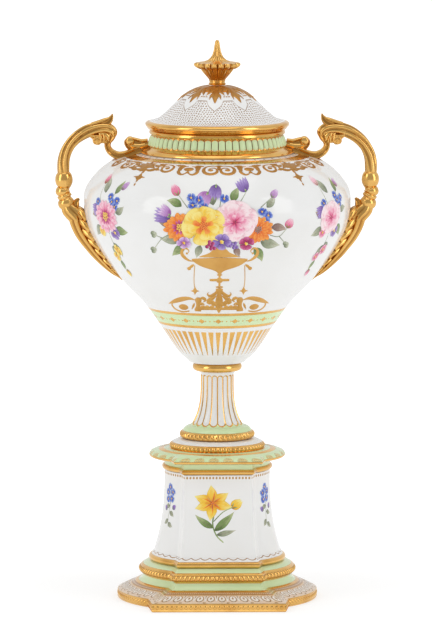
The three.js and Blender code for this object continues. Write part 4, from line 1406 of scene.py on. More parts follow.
# %% [markdown]
# ### A brush mark
#
# Each kind of mark is a formula for its width from start to end, such as a leaf, a petal or an oval. A
# curve with a taper would make a round thread, but paint is flat and broad. So a grid is bent along the
# path and given that width, and its edges are pressed down to the wall.
# %% Brush marks
SHAPES = {
    "even": lambda t: min(1.0, math.sqrt(max(0.0, 1 - (2 * t - 1) ** 2)) * 2.6),
    "oval": lambda t: math.sqrt(max(0.0, 1 - (2 * t - 1) ** 2)),
    "leaf": lambda t: math.sin(math.pi * t**0.75) ** 1.15,
    "pointed": lambda t: math.sin(math.pi * t**1.25) ** 0.8,
    "petal": lambda t: 0.12 * (1 - t) + math.sin(math.pi * t**1.7) ** 0.62,
    "heart": lambda t: 0.10 * (1 - t) + math.sin(math.pi * t**2.2) ** 0.5,
    "taper": lambda t: (1 - t) ** 0.7 * min(1.0, t * 12 + 0.25),
    "swell": lambda t: 0.18 + math.sin(math.pi * t) ** 1.5,
    "kite": lambda t: 1 - abs(2 * t - 1) ** 0.8,
}


def brush(bm, lay, path, width, shape="even", high=0.28, base=-0.04, columns=10, rows=4, paint=0, ripple=0.0):
    """One brush mark along a path of (across, up) points. The width is half the mark's widest part."""
    uv = bm.loops.layers.uv.verify()
    made = bmesh.ops.create_grid(bm, x_segments=columns, y_segments=rows, size=0.5, calc_uvs=True)
    if len(path) > 2:
        line = smooth_line(path, 8)
    else:
        line = [Vector(path[0]).lerp(Vector(path[1]), i / 16) for i in range(17)]
    lengths = running_length(line)
    outline = SHAPES.get(shape, shape)
    for vert in made["verts"]:
        t = 0.5 - 0.5 * math.cos(math.pi * min(max(vert.co.x + 0.5, 0.0), 1.0))
        v = vert.co.y * 2
        want = t * lengths[-1]
        i = 1
        while i < len(lengths) - 1 and lengths[i] < want:
            i += 1
        run = (line[i] - line[i - 1]).normalized()
        here = line[i - 1] + run * (want - lengths[i - 1])
        side = Vector((-run.y, run.x))
        wide = width * outline(min(max(t, 0.0), 1.0)) * (1 + ripple * math.sin(9 * math.pi * t))
        place = here + side * wide * v
        vert.co = lay(place.x, place.y, base + (high - base) * (1 - v**4))
    faces = {face for vert in made["verts"] for face in vert.link_faces}
    for face in faces:
        face.material_index = paint
        face.normal_update()
        for loop in face.loops:
            loop[uv].uv.x = 0.5 - 0.5 * math.cos(math.pi * loop[uv].uv.x)
    # Faces look away from the vase
    middle = sum((face.calc_center_median() for face in faces), Vector()) / len(faces)
    facing = sum((face.normal for face in faces), Vector())
    if facing.dot(Vector((middle.x, middle.y, 0.35 * middle.length))) < 0:
        bmesh.ops.reverse_faces(bm, faces=list(faces))


def brush_at(bm, lay, x, y, size=1.0, across_size=1.0):
    """A brush for a design on a wall, with the design's own middle moved to a place and its size changed."""

    def moved(across, up, lift):
        return lay(x + across * across_size, y + up * size, lift)

    return functools.partial(brush, bm, moved)


# %% [markdown]
# ### Gilt scrollwork on the shoulder
#
# Paired scrolls run round the shoulder between four palmettes, with a small star under each. The gold is
# raised with paste. It could be traced as one long outline, but here each ornament is a short function of
# brush marks, so a change to one scroll changes them all.
# %% Gilt scrollwork
DEGREE = 1 / 1.16


def c_scroll(bm, lay, x, up, size, mirror=1):
    """A round scroll: a ring that curls in to a ball, hung from a filled corner."""
    mark = brush_at(bm, lay, x, up, size, size * DEGREE * mirror)
    path = [(4.6, 4.9), (0.8, 5.3), (-2.9, 3.9), (-4.2, 0.4), (-3.1, -3.1), (0.2, -4.5), (3.5, -2.9)]
    path += [(3.9, 0.6), (1.8, 2.3), (-0.8, 1.4), (-0.9, -0.6)]
    mark(path, 1.12, "swell", columns=34)
    mark([(-1.6, -0.3), (1.6, -0.2)], 1.5, "oval", 0.35)
    mark([(3.0, 5.4), (8.2, 5.0)], 1.5, "leaf", 0.35, columns=12)
    mark([(5.4, 6.0), (4.6, 2.4), (5.2, -0.4)], 1.3, "taper", 0.33, columns=12)


def paired_scroll(bm, lay, x, up):
    """Two curls back to back round a filled heart, under broad gilt corners."""
    for side in (1, -1):
        mark = brush_at(bm, lay, x, up, 1.0, DEGREE * side)
        path = [(7.0, 5.0), (5.8, 1.0), (6.0, -2.6), (3.6, -5.2), (1.0, -4.0), (0.2, -1.9)]
        mark(path, 1.02, "swell", columns=24)
        mark([(1.0, 4.3), (4.0, 3.9), (5.0, 1.0), (4.6, -1.6)], 0.9, "swell", columns=14)
        mark([(5.2, 6.2), (6.6, 2.8), (6.8, -0.8)], 1.5, "taper", 0.33, columns=12)
        mark([(3.4, 5.4), (9.0, 5.4)], 1.4, "leaf", 0.35, columns=12)
    mark = brush_at(bm, lay, x, up, 1.0, DEGREE)
    mark([(-3.2, 0.7), (3.2, 0.7)], 2.5, "oval", 0.4)
    mark([(0, 1.0), (0, -2.6)], 1.6, "taper", 0.38)
    mark([(-1.2, -3.0), (1.2, -3.0)], 1.1, "oval", 0.35)


def palmette(bm, lay, x, up):
    """A fan of broad gilt leaves with a curl and a bud at each side."""
    mark = brush_at(bm, lay, x, up, 1.0, DEGREE)
    for turn, long in ((0, 8.6), (34, 8.0), (-34, 8.0), (66, 8.6), (-66, 8.6), (98, 8.6), (-98, 8.6)):
        a = math.radians(turn)
        tip = (math.sin(a) * long, math.cos(a) * long)
        bend = (math.sin(a * 0.8) * long * 0.55, math.cos(a * 0.8) * long * 0.55)
        mark([(0, -0.6), bend, tip], 2.1, "leaf", 0.34, columns=14, ripple=0.1)
    for side in (1, -1):
        curl = [(side * 2, -2.4), (side * 6, -3.4), (side * 10.4, -1.0), (side * 9.8, 2.2)]
        mark(curl, 1.5, "swell", columns=18)
        mark([(side * 7.2, 1.6), (side * 12.4, 3.6)], 1.8, "oval", 0.34)
        mark([(side * 9.4, -1.6), (side * 13.4, -2.8)], 1.4, "leaf", 0.3)
        mark([(side * 8.6, 5.2), (side * 13.4, 5.4)], 1.2, "leaf", 0.3)
    mark([(0, -5.2), (0, 2.2)], 3.0, "oval", 0.45)
    mark([(-4.6, -3.2), (4.6, -3.2)], 1.7, "oval", 0.4)


def hanging_star(bm, lay, x, up):
    """A four-pointed star on a short stalk, with a drop under it."""
    mark = brush_at(bm, lay, x, up, 0.86, 0.8 * DEGREE)
    mark([(0, 5.4), (0, -5.6)], 2.7, "kite", 0.3)
    mark([(-5.2, 0), (5.2, 0)], 2.5, "kite", 0.3)
    mark([(0, 0.6), (0, -2.8)], 2.6, "oval", 0.3)
    mark([(0, 8.0), (0, 4.4)], 1.2, "even", 0.25)
    mark([(0, -6.0), (0, -8.4)], 0.8, "oval", 0.25)


def make_scroll_band():
    bm = bmesh.new()
    for middle in (0, 180):
        for side in (1, -1):
            put = on_wall(BOWL_LINE, BOWL_LENGTHS, middle, side)
            c_scroll(bm, put, 4.6, 161.6, 1.05, -1)
            brush(bm, put, [(8.6, 166.6), (13.6, 166.2)], 1.9, "kite", 0.35)
            paired_scroll(bm, put, 16.6, 161.4)
            brush(bm, put, [(21.2, 166.8), (25.6, 167.0)], 1.8, "kite", 0.35)
            c_scroll(bm, put, 29.2, 162.4, 0.92, 1)
            c_scroll(bm, put, 60.6, 162.6, 0.95, -1)
            brush(bm, put, [(64.4, 166.8), (69.6, 166.8)], 1.7, "kite", 0.35)
            c_scroll(bm, put, 73.6, 162.6, 0.95, 1)
            palmette(bm, put, 44.4, 162.2)
            hanging_star(bm, put, 42.2, 151.8)
    for middle in (90, 270):
        brush(bm, on_wall(BOWL_LINE, BOWL_LENGTHS, middle), [(-3, 163), (3, 163)], 2.4, "oval", 0.35)
    finish_piece(bm, "gilt_scroll_band", [BROWN_GOLD], outwards=False)


make_scroll_band()

# %% [markdown]
# ### The gilt dish on its stand
#
# In front and behind, the flowers stand in a shallow gilt dish with scrolled handles, on a baluster and a
# rod with leaves at both ends. The outlines of the dish and its mound would be awkward as formulas, so they
# are given as half widths at equal steps, as one reads them off a drawing.
# %% Gilt dish
DISH_HALVES = (2.0, 18.8, 18.6, 17.8, 16.9, 15.6, 14.2, 12.4, 10.2, 7.4, 4.6, 2.6, 1.5, 1.2)
MOUND_HALVES = (2.0, 3.6, 4.6, 5.2, 5.8, 6.6, 7.8, 9.4, 11.4, 13.2, 13.8)


def outlined(halves):
    """The width of a mark from half widths at equal steps along it."""

    def half(t):
        place = t * (len(halves) - 1)
        i = min(int(place), len(halves) - 2)
        return halves[i] + (halves[i + 1] - halves[i]) * (place - i)

    return half


def paint_dish(bm, lay):
    for side in (1, -1):
        mark = brush_at(bm, lay, 0.3, 0, 1.0, side)
        handle = [(15.0, 227.0), (19.6, 227.6), (23.6, 231.0), (23.9, 234.4), (21.6, 235.8), (19.6, 234.0)]
        mark(handle + [(20.6, 232.2)], 1.0, "swell", columns=26)
        mark([(20.6, 232.6), (21.4, 231.9)], 0.9, "oval")
        mark([(16.4, 224.8), (17.8, 223.6), (19.4, 222.2)], 1.0, "oval")
        mark([(18.2, 221.8), (20.6, 222.2)], 1.3, "oval")
        mark([(15.9, 224.6), (16.2, 214.0), (15.6, 207.6)], 0.28, "even", 0.2, columns=14)
        mark([(15.5, 209.4), (15.5, 203.4)], 1.9, "kite")
        mark([(12.6, 206.3), (18.4, 206.3)], 1.5, "kite")
        upper_curl = [(0.6, 208.4), (2.6, 204.6), (5.4, 202.8), (7.6, 204.0), (6.8, 205.4)]
        mark(upper_curl, 1.15, "swell", columns=16)
        lower_curl = [(1.2, 203.4), (4.4, 201.0), (7.2, 199.0), (5.6, 197.2), (4.2, 198.6)]
        mark(lower_curl, 1.3, "swell", columns=18)
        mark([(1.0, 195.4), (4.6, 198.4), (7.0, 202.2)], 1.7, "leaf", 0.36)
        mark([(0, 193.7), (12.6, 193.5)], 1.0, "even", 0.3)
        for x in (4.6, 7.6, 10.4):
            mark([(x - 1.5, 194.7), (x + 1.5, 194.7)], 1.5, "oval", 0.34)
        foot = outlined((1.0, 1.15, 0.8, 0.65, 0.7, 1.0, 1.1, 0.7))
        mark([(13.4, 191.6), (13.2, 201.6)], 2.1, foot, 0.34, columns=18)
        mark([(13.0, 200.6), (10.4, 201.4), (8.8, 199.6), (10.2, 198.4)], 1.1, "swell", columns=12)
        mark([(13.4, 196.4), (10.8, 197.2), (9.0, 196.0)], 1.2, "leaf")
        long_leaf = [(14.4, 199.4), (19.6, 200.8), (26.0, 199.2), (32.2, 196.0)]
        mark(long_leaf, 1.9, "pointed", columns=20)
        tendril = [(24.8, 198.6), (30.0, 196.4), (28.0, 192.6), (23.4, 190.9), (18.6, 191.6)]
        mark(tendril, 0.55, "even", 0.2, columns=20)
        mark([(19.6, 193.8), (25.6, 194.7)], 2.2, "oval", 0.36)
        mark([(15.6, 197.6), (17.4, 192.6)], 0.8, "leaf", 0.3)
    mark = brush_at(bm, lay, 0.3, 0)
    mark([(0, 229.7), (0, 218.6)], 1.0, outlined(DISH_HALVES), 0.42, columns=36, rows=8)
    mark([(0, 236.4), (0, 229.9)], 1.0, outlined(MOUND_HALVES), 0.42, columns=26, rows=8)
    mark([(0, 220.0), (0, 209.0)], 0.75, "even", 0.3)
    mark([(-1.7, 217.8), (1.7, 217.8)], 0.75, "oval", 0.3)
    mark([(-6.4, 214.2), (6.4, 214.2)], 0.95, "even", 0.34)
    mark([(-2.2, 214.0), (2.2, 214.0)], 2.0, "oval", 0.4)
    mark([(-2.3, 209.3), (2.3, 209.3)], 0.6, "even", 0.3)
    mark([(0, 208.6), (0, 204.0), (0, 199.4)], 2.7, "taper", 0.36, columns=14)
    mark([(0, 190.4), (0, 207.0)], 2.5, "leaf", 0.38, columns=16)
    mark([(0, 204.4), (0, 192.0)], 2.6, "oval", 0.4)


def make_dishes():
    bm = bmesh.new()
    for turn in (0, 180):
        paint_dish(bm, on_front(bowl_at_height, turn))
    finish_piece(bm, "gilt_dish_and_stand", [SOFT_GOLD], outwards=False)


make_dishes()

# %% [markdown]
# ### Gilt leaves on the cover
#
# Nine gilt leaves hang from the neck of the finial over the white top of the dome. One leaf could be copied
# round, but the copies would have to be laid on the dome again, so the brush paints each in its place.
# %% Leaves on the cover
def paint_cover_leaf(mark):
    """One leaf: a rippled blade, four pairs of side leaves and a boss where it hangs."""
    mark([(0, 0.4), (0, 11.0), (0, 21.6)], 2.2, "pointed", 0.4, columns=22, ripple=0.1)
    for side in (1, -1):
        mark([(0, 10.0), (side * 2.4, 14.6), (side * 3.6, 18.6)], 1.0, "leaf", 0.38, columns=12)
        mark([(0, 7.0), (side * 3.2, 10.8), (side * 5.2, 14.4)], 1.15, "leaf", 0.37, columns=12)
        mark([(0, 3.0), (side * 3.8, 6.8), (side * 6.2, 10.0)], 1.3, "leaf", 0.36, columns=12)
        mark([(0, 1.0), (side * 3.0, 3.6), (side * 5.0, 6.4)], 1.6, "leaf", 0.36, columns=12)
    mark([(0, 0.2), (0, 8.0)], 3.4, "oval", 0.42, columns=12)


def make_cover_leaves():
    bm = bmesh.new()
    top = DOME_LENGTHS[-1]
    for i in range(LEAVES):
        lay = on_wall(DOME_LINE, DOME_LENGTHS, 360 / LEAVES * i - LEAF_TURN)

        def put(across, down, lift):
            """Sideways in millimetres and down from the top of the dome."""
            r = 4.0 + down * 0.95
            return lay(math.degrees(across / max(r, 4.0)), top - down, lift)

        paint_cover_leaf(functools.partial(brush, bm, put))
        gap = on_wall(DOME_LINE, DOME_LENGTHS, 360 / LEAVES * (i + 0.5) - LEAF_TURN)
        for k in (-1, 0, 1):
            bud = [(k * 4.4 - 1.5, top - 15.6), (k * 4.4 + 1.5, top - 15.6)]
            brush(bm, gap, bud, 0.55, "oval", 0.3, columns=6)
    finish_piece(bm, "gilt_leaves_of_the_cover", [BROWN_GOLD], "cover", outwards=False)


make_cover_leaves()

# %% [markdown]
# ## Enamel colours for the flowers
#
# Each petal is one loaded brush mark: dark at the heart, full in the middle and washed out to the tip, with
# fine streaks left by the hairs. A plain colour with an outline would look like a transfer. The map of a
# mark runs along and across it, so three shades and a stretched noise on that map give wash and streaks.
# %% Enamel colours
def enamel(name, heart, middle, tip):
    """A flower colour, washed from heart to tip along each brush mark."""
    material, tree, shader = new_material(name)
    along, across = own_map(tree)
    hairs = node(tree, "CombineXYZ")
    feed(hairs.inputs[0], times(along, 2.2))
    feed(hairs.inputs[1], times(across, 11.0))
    streak = node(tree, "TexNoise")
    streak.inputs["Scale"].default_value = 1.0
    streak.inputs["Detail"].default_value = 2.0
    tree.links.new(hairs.outputs[0], streak.inputs["Vector"])
    uneven = times(minus(streak.outputs["Fac"], 0.5), 0.9)
    wash = times(minus(grain(tree, 260, 1), 0.5), 0.5)
    share = add(along, uneven, wash)
    colour = blend_colours(rise(share, 0.02, 0.42), (*heart, 1), (*middle, 1))
    colour = blend_colours(rise(share, 0.40, 0.98), colour, (*tip, 1))
    edge = calc("ABSOLUTE", minus(times(across, 2.0), 1.0))
    dark = tuple(0.62 * c for c in middle)
    colour = blend_colours(rise(edge, 0.74, 1.0, 0.0, 0.42), colour, (*dark, 1))
    feed(shader.inputs["Base Color"], colour)
    shader.inputs["Roughness"].default_value = 0.14
    return material


PIGMENTS = {
    "pink": ((0.55, 0.02, 0.10), (0.80, 0.20, 0.36), (0.93, 0.62, 0.70)),
    "blush": ((0.76, 0.20, 0.30), (0.89, 0.48, 0.57), (0.95, 0.80, 0.82)),
    "crimson": ((0.18, 0.01, 0.05), (0.40, 0.02, 0.13), (0.66, 0.16, 0.34)),
    "yellow": ((0.72, 0.20, 0.01), (0.90, 0.56, 0.04), (0.94, 0.80, 0.26)),
    "orange": ((0.30, 0.03, 0.01), (0.80, 0.15, 0.015), (0.92, 0.36, 0.06)),
    "violet": ((0.09, 0.03, 0.20), (0.22, 0.12, 0.42), (0.44, 0.33, 0.66)),
    "mauve": ((0.30, 0.06, 0.30), (0.50, 0.25, 0.56), (0.76, 0.58, 0.80)),
    "blue": ((0.02, 0.03, 0.30), (0.06, 0.11, 0.52), (0.28, 0.40, 0.78)),
    "leaf green": ((0.10, 0.16, 0.05), (0.20, 0.30, 0.10), (0.46, 0.54, 0.26)),
    "grey green": ((0.16, 0.19, 0.12), (0.32, 0.36, 0.24), (0.58, 0.60, 0.46)),
    "dusk brown": ((0.12, 0.06, 0.06), (0.30, 0.19, 0.15), (0.54, 0.43, 0.34)),
    "chalk": ((0.80, 0.70, 0.58), (0.85, 0.79, 0.71), (0.87, 0.83, 0.77)),
    "gold brown": ((0.26, 0.13, 0.035), (0.37, 0.19, 0.055), (0.46, 0.26, 0.09)),
}
ENAMELS = [enamel(name, *shades) for name, shades in PIGMENTS.items()]
PAINT = {name: i for i, name in enumerate(PIGMENTS)}
print("enamel colours:", ", ".join(PIGMENTS))


# %% [markdown]
# ### The leaf border of the base
#
# White leaves with brown outlines stand on the slope of the base, with a dart between each two. An array
# would not bend round corners that are partly round and partly straight. The places are walked off along the
# outline instead, and each mark is laid between the slope's two edges.
# %% Leaf border of the base
BORDER = (59.0, 39.5, 59.6)
BORDER_WIDTH = 13.0
PLACES_PER_LEAF = 24


def make_leaf_border():
    places, pitch = walk_plan(BORDER, 6.8, PLACES_PER_LEAF)
    edges = [plan_outline(grown(PLINTH, -1.1), PLINTH_EDGE)]
    edges.append(plan_outline(grown(SCOTIA, 0.5), PLINTH_EDGE + 5.0))

    def lay(across, up, lift):
        """Millimetres along the outline and up the slope, and a lift."""
        at = across / pitch * PLACES_PER_LEAF
        k = math.floor(at)
        here = [point_on(line, places[k % len(places)]) for line in edges]
        ahead = [point_on(line, places[(k + 1) % len(places)]) for line in edges]
        low, high = here[0].lerp(ahead[0], at - k), here[1].lerp(ahead[1], at - k)
        place = low.lerp(high, up / BORDER_WIDTH)
        return Vector((place.x, place.y, place.z + lift))

    bm = bmesh.new()
    white, brown = PAINT["chalk"], PAINT["gold brown"]
    units = len(places) // PLACES_PER_LEAF
    for i in range(units):
        x = (i + 0.5) * pitch
        brush(bm, lay, [(x, 1.4), (x, 8.6)], 2.5, "oval", 0.10, 0.02, 10, 4, brown)
        brush(bm, lay, [(x, 1.9), (x, 8.1)], 1.95, "oval", 0.14, 0.06, 10, 4, white)
        brush(bm, lay, [(x, 6.8), (x, 3.6)], 0.8, "leaf", 0.18, 0.10, 8, 4, brown)
        x = i * pitch
        brush(bm, lay, [(x, 8.8), (x, 2.2)], 1.3, "taper", 0.10, 0.02, 10, 4, white)
        brush(bm, lay, [(x, 8.6), (x, 4.4)], 0.5, "taper", 0.14, 0.06, 8, 4, brown)
        if i % 2:
            brush(bm, lay, [(x - 0.9, 0.5), (x + 0.9, 0.5)], 0.5, "even", 0.10, 0.02, 6, 4, brown)
    print("the border has", units, "leaves")
    finish_piece(bm, "leaf_border_of_the_base", ENAMELS, outwards=False)


make_leaf_border()


# %% [markdown]
# ### Flowers from brush marks
#
# Every flower is built from the outside in, and each new petal lies a hair above the one before it. Petals
# that all look the same would give a stamp, so their length and angle are shaken a little. The shaking is
# seeded, so the same flowers come out every time.
# %% Flowers from brush marks
GREY, LEAF, DUSK = "grey green", "leaf green", "dusk brown"


def off(x, y, angle, distance):
    """The point so far from x, y at an angle."""
    return x + distance * math.cos(angle), y + distance * math.sin(angle)


class Spray:
    """A place on a wall where flowers are painted one over the other."""

    def __init__(self, bm, lay, seed):
        self.bm, self.lay, self.lift = bm, lay, 0.02
        self.chance = random.Random(seed)

    def mark(self, path, width, shape, colour, columns=9, above=True):
        """One brush mark, a hair above the one before it, or beside that one at the same height."""
        self.lift += 0.0022 if above else 0.0
        brush(self.bm, self.lay, path, width, shape, self.lift + 0.03, self.lift, columns, 4, PAINT[colour])

    def petals(self, x, y, size, count, colour, width=0.3, shape="heart", inner=0.1, start=0.0, flat=0.9):
        """A ring of petals round a point."""
        for i in range(count):
            turn = math.radians(start + 360 * (i + self.chance.uniform(-0.12, 0.12)) / count)
            long = size * self.chance.uniform(0.9, 1.06)
            bend = self.chance.uniform(-0.10, 0.10)
            path = []
            for share in (inner, 0.55, 1.0):
                a = turn + bend * (share - inner)
                path.append((x + long * share * math.cos(a), y + long * share * flat * math.sin(a)))
            self.mark(path, width * size, shape, colour)

    def dots(self, x, y, size, count, spread, colour):
        """Round dots, closer in the middle, as seeds stand in a flower."""
        for i in range(count):
            cx, cy = off(x, y, 2.4 * i, spread * math.sqrt((i + 0.3) / count))
            self.mark([(cx - size, cy), (cx + size, cy)], size, "oval", colour, 6, above=i == 0)

    def leaf(self, x, y, turn, long, colour=GREY, wide=0.27):
        """A leaf with its veins, from its stalk end."""
        a = math.radians(turn)
        bend = self.chance.uniform(-0.35, 0.35)
        path = [off(x, y, a + bend * share, long * share) for share in (0, 0.35, 0.7, 1)]
        self.mark(path, wide * long, "leaf", colour, 12)
        self.mark(path, 0.13, "even", DUSK, 12)
        line = smooth_line(path, 4)
        for i in (3, 5, 7):
            run = (line[i + 1] - line[i]).normalized()
            for side in (1, -1):
                tip = line[i] + (run * 0.9 + Vector((-run.y, run.x)) * side) * long * wide * 0.62
                self.mark([tuple(line[i]), tuple(tip)], 0.09, "even", DUSK, 4, above=False)

    def stem(self, path, width=0.24, colour=GREY):
        self.mark(path, width, "even", colour, 16)

    def many_petalled(self, x, y, size, outer, inner, heart=DUSK):
        """A full round bloom of narrow petals in three rows."""
        self.petals(x, y, size, 17, outer, 0.17, "petal", 0.15)
        self.petals(x, y, size * 0.76, 15, outer, 0.16, "petal", 0.12, 11)
        self.petals(x, y, size * 0.52, 12, inner, 0.13, "petal", 0.1, 5)
        self.dots(x, y, size * 0.055, 17, size * 0.24, heart)

    def wild_rose(self, x, y, size, outer, inner, heart="yellow"):
        """Two rows of broad petals, with a ring of stamens."""
        self.petals(x, y, size, 6, outer, 0.46, "heart", 0.05, 20)
        self.petals(x, y, size * 0.74, 5, outer, 0.40, "heart", 0.05, 55)
        self.petals(x, y, size * 0.5, 5, inner, 0.30, "heart", 0.05, 15)
        self.dots(x, y, size * 0.05, 21, size * 0.2, heart)

    def full_rose(self, x, y, size, outer, inner):
        """Cupped petals in rings that close over a dark heart."""
        self.petals(x, y, size, 7, outer, 0.44, "heart", 0.1, 10)
        self.petals(x, y, size * 0.82, 6, outer, 0.42, "heart", 0.1, 40)
        self.petals(x, y - size * 0.06, size * 0.62, 6, inner, 0.36, "heart", 0.1, 0)
        self.petals(x, y - size * 0.08, size * 0.42, 5, inner, 0.26, "heart", 0.05, 30)
        self.petals(x, y - size * 0.08, size * 0.24, 4, "crimson", 0.13, "heart", 0.0, 10)

    def six_pointed(self, x, y, size, outer, inner):
        """A lily: six pointed petals with a mid stripe and long stamens."""
        self.petals(x, y, size, 3, outer, 0.27, "leaf", 0.02, 30, 1.0)
        self.petals(x, y, size, 3, outer, 0.27, "leaf", 0.02, 90, 1.0)
        self.petals(x, y, size * 0.66, 3, inner, 0.06, "leaf", 0.05, 30, 1.0)
        self.petals(x, y, size * 0.66, 3, inner, 0.06, "leaf", 0.05, 90, 1.0)
        self.petals(x, y, size * 0.36, 5, DUSK, 0.02, "even", 0.05, 50, 1.0)

    def five_petalled(self, x, y, size, colour, eye="yellow"):
        self.petals(x, y, size, 5, colour, 0.42, "heart", 0.1, self.chance.uniform(0, 72))
        self.dots(x, y, size * 0.17, 3, size * 0.12, eye)

    def bell(self, x, y, turn, long, colour):
        """A bell with its mouth away from the stalk."""
        a = math.radians(turn)
        for spread in (0.42, -0.42, 0.24, -0.24, 0.0):
            path = [(x, y), off(x, y, a + spread * 1.15, long * 0.5), off(x, y, a + spread, long)]
            self.mark(path, long * 0.20, "leaf", colour, 10)
        self.mark([(x, y), off(x, y, a, long * 0.2)], long * 0.1, "oval", LEAF)

    def bud(self, x, y, turn, long, colour):
        """Three closed petals between two green ones."""
        a = math.radians(turn)
        for spread in (0.3, -0.3, 0.0):
            path = [(x, y), off(x, y, a + spread, long * 0.5), off(x, y, a + spread * 0.4, long)]
            self.mark(path, long * 0.26, "leaf", colour)
        for spread in (0.5, -0.5):
            self.mark([(x, y), off(x, y, a + spread, long * 0.5)], long * 0.09, "leaf", LEAF, 6)


# %% [markdown]
# ### The bouquets on the bowl
#
# In front and behind, a bouquet spreads over the gilt dish, and a looser spray hangs at each quarter, all
# of common garden flowers. They could be scattered by chance, but a bouquet has an order: leaves and stalks
# first, then buds and bells, and the full blooms last and on top.
# %% Bouquets
def paint_bouquet(bm, lay, seed):
    spray = Spray(bm, lay, seed)
    for x, y, turn, long, colour in (
        (-24, 243, 196, 14, GREY), (-22, 238, 222, 11, LEAF), (-30, 251, 168, 10, DUSK),
        (-12, 238, 250, 9, GREY), (26, 240, -18, 13, GREY), (22, 236, -44, 11, LEAF),
        (33, 249, 8, 10, DUSK), (30, 262, 42, 9, GREY), (-4, 264, 104, 12, GREY),
        (8, 266, 74, 10, LEAF), (-24, 263, 140, 10, LEAF), (10, 237, -70, 8, DUSK),
    ):
        spray.leaf(x, y, turn, long, colour)
    for path in (
        [(-28, 246), (-36, 242), (-41, 235)], [(-36, 242), (-41, 244)], [(-20, 262), (-26, 270)],
        [(0, 262), (1, 271), (-2, 277)], [(12, 264), (17, 272)], [(32, 244), (38, 243), (43, 248)],
        [(38, 243), (42, 238)], [(26, 262), (33, 268)],
    ):
        spray.stem(path)
    for x, y in ((-41.5, 234), (-41.5, 244.5), (42.5, 237.4)):
        spray.dots(x, y, 1.5, 3, 1.2, GREY)
    spray.bud(-26, 269.5, 118, 7.5, "pink")
    spray.bud(43, 248, 62, 7, "pink")
    spray.bud(33, 268, 50, 6, "mauve")
    spray.bell(-2, 276.5, 262, 9.5, "violet")
    spray.bell(-7, 272, 235, 10.5, "mauve")
    spray.bell(17, 272, 118, 9.0, "violet")
    spray.bell(-31, 256, 172, 11.0, "violet")
    spray.bell(-31, 257, 148, 9.0, "mauve")
    small_blue = ((-13, 267), (-17, 264), (-10, 263), (-18, 268.5), (3, 268), (6, 264), (27, 259.5))
    for x, y in small_blue + ((31, 257), (29, 254)):
        spray.five_petalled(x, y, 3.1, "blue")
    spray.many_petalled(24.5, 248, 9.8, "orange", "orange")
    spray.many_petalled(-25, 249.5, 10.4, "orange", "crimson", "yellow")
    spray.full_rose(10, 254, 14.5, "blush", "pink")
    spray.wild_rose(-10, 251, 14.0, "yellow", "orange", "orange")
    spray.five_petalled(-22.5, 239.5, 4.6, "mauve")
    spray.five_petalled(1.5, 240.5, 6.2, "violet")
    spray.five_petalled(17, 239, 5.2, "crimson")
    spray.dots(-5.5, 237.6, 1.25, 7, 3.1, "crimson")
    spray.dots(9.0, 238.0, 1.1, 6, 2.6, "violet")


def paint_quarter_spray(bm, lay, seed, main, second):
    spray = Spray(bm, lay, seed)
    spray.stem([(0, 250), (1, 236), (-1, 222), (0, 216)])
    spray.stem([(-2, 256), (-7, 266), (-8, 274)])
    spray.stem([(3, 256), (7, 266), (12, 272)])
    for x, y, turn, long, colour in (
        (-2, 268, 112, 11, GREY), (8, 268, 62, 9, LEAF), (-8, 246, 205, 11, GREY),
        (-9, 254, 170, 9, DUSK), (9, 246, -20, 11, LEAF), (1, 234, 232, 10, GREY),
        (1, 236, -52, 10, GREY), (0, 224, 250, 7, LEAF), (11, 256, 14, 9, GREY),
    ):
        spray.leaf(x, y, turn, long, colour)
    spray.bud(-8, 273, 104, 6.5, main)
    spray.bud(12, 271, 52, 6, "mauve")
    for x, y in ((7, 263), (10, 260), (5, 266), (12, 264), (-9, 262)):
        spray.five_petalled(x, y, 3.0, "blue")
    spray.bell(-8, 258, 196, 9, "violet")
    spray.five_petalled(7.5, 243, 4.8, "violet")
    spray.five_petalled(-7, 243, 4.0, second)
    if main == "pink":
        spray.many_petalled(0, 253, 12.2, "pink", "crimson", "yellow")
    else:
        spray.full_rose(0, 253, 12.0, "blush", "pink")
    spray.five_petalled(2.6, 231, 4.0, second)
    spray.five_petalled(-2.2, 226.5, 3.4, second)
    spray.bud(0, 218, 268, 5, second)


QUARTERS = ((5, -57, "pink", "yellow"), (6, 57, "blush", "pink"))
QUARTERS += ((7, 123, "pink", "yellow"), (8, -123, "blush", "pink"))


def make_bouquets():
    bm = bmesh.new()
    for seed, turn, mirror in ((3, 0, 1), (11, 180, -1)):
        paint_bouquet(bm, on_front(bowl_at_height, turn, mirror), seed)
    for seed, turn, main, second in QUARTERS:
        paint_quarter_spray(bm, on_front(bowl_at_height, turn), seed, main, second)
    finish_piece(bm, "painted_bouquets", ENAMELS, outwards=False)


make_bouquets()

# %% [markdown]
# ### The flowers on the pedestal
#
# A lily stands on each squared panel of the pedestal, and a small blue sprig on each quarter of the round
# sides. One general way of laying a design could serve both, but the panel is nearly flat and the side
# nearly a cylinder, so each has its own short way.
# %% Flowers of the pedestal
def on_panel(side):
    """Lays a flat design on the squared panel in front (1) or behind (-1)."""

    def lay(across, z, lift):
        return Vector((side * across, -side * (waist_at_height(z)[2] + lift), z))

    return lay


def on_round_side(turn):
    def lay(across, z, lift):
        radius = waist_at_height(z)[0] + lift
        angle = math.radians(turn) + across / radius
        return Vector((radius * math.sin(angle), -radius * math.cos(angle), z))

    return lay


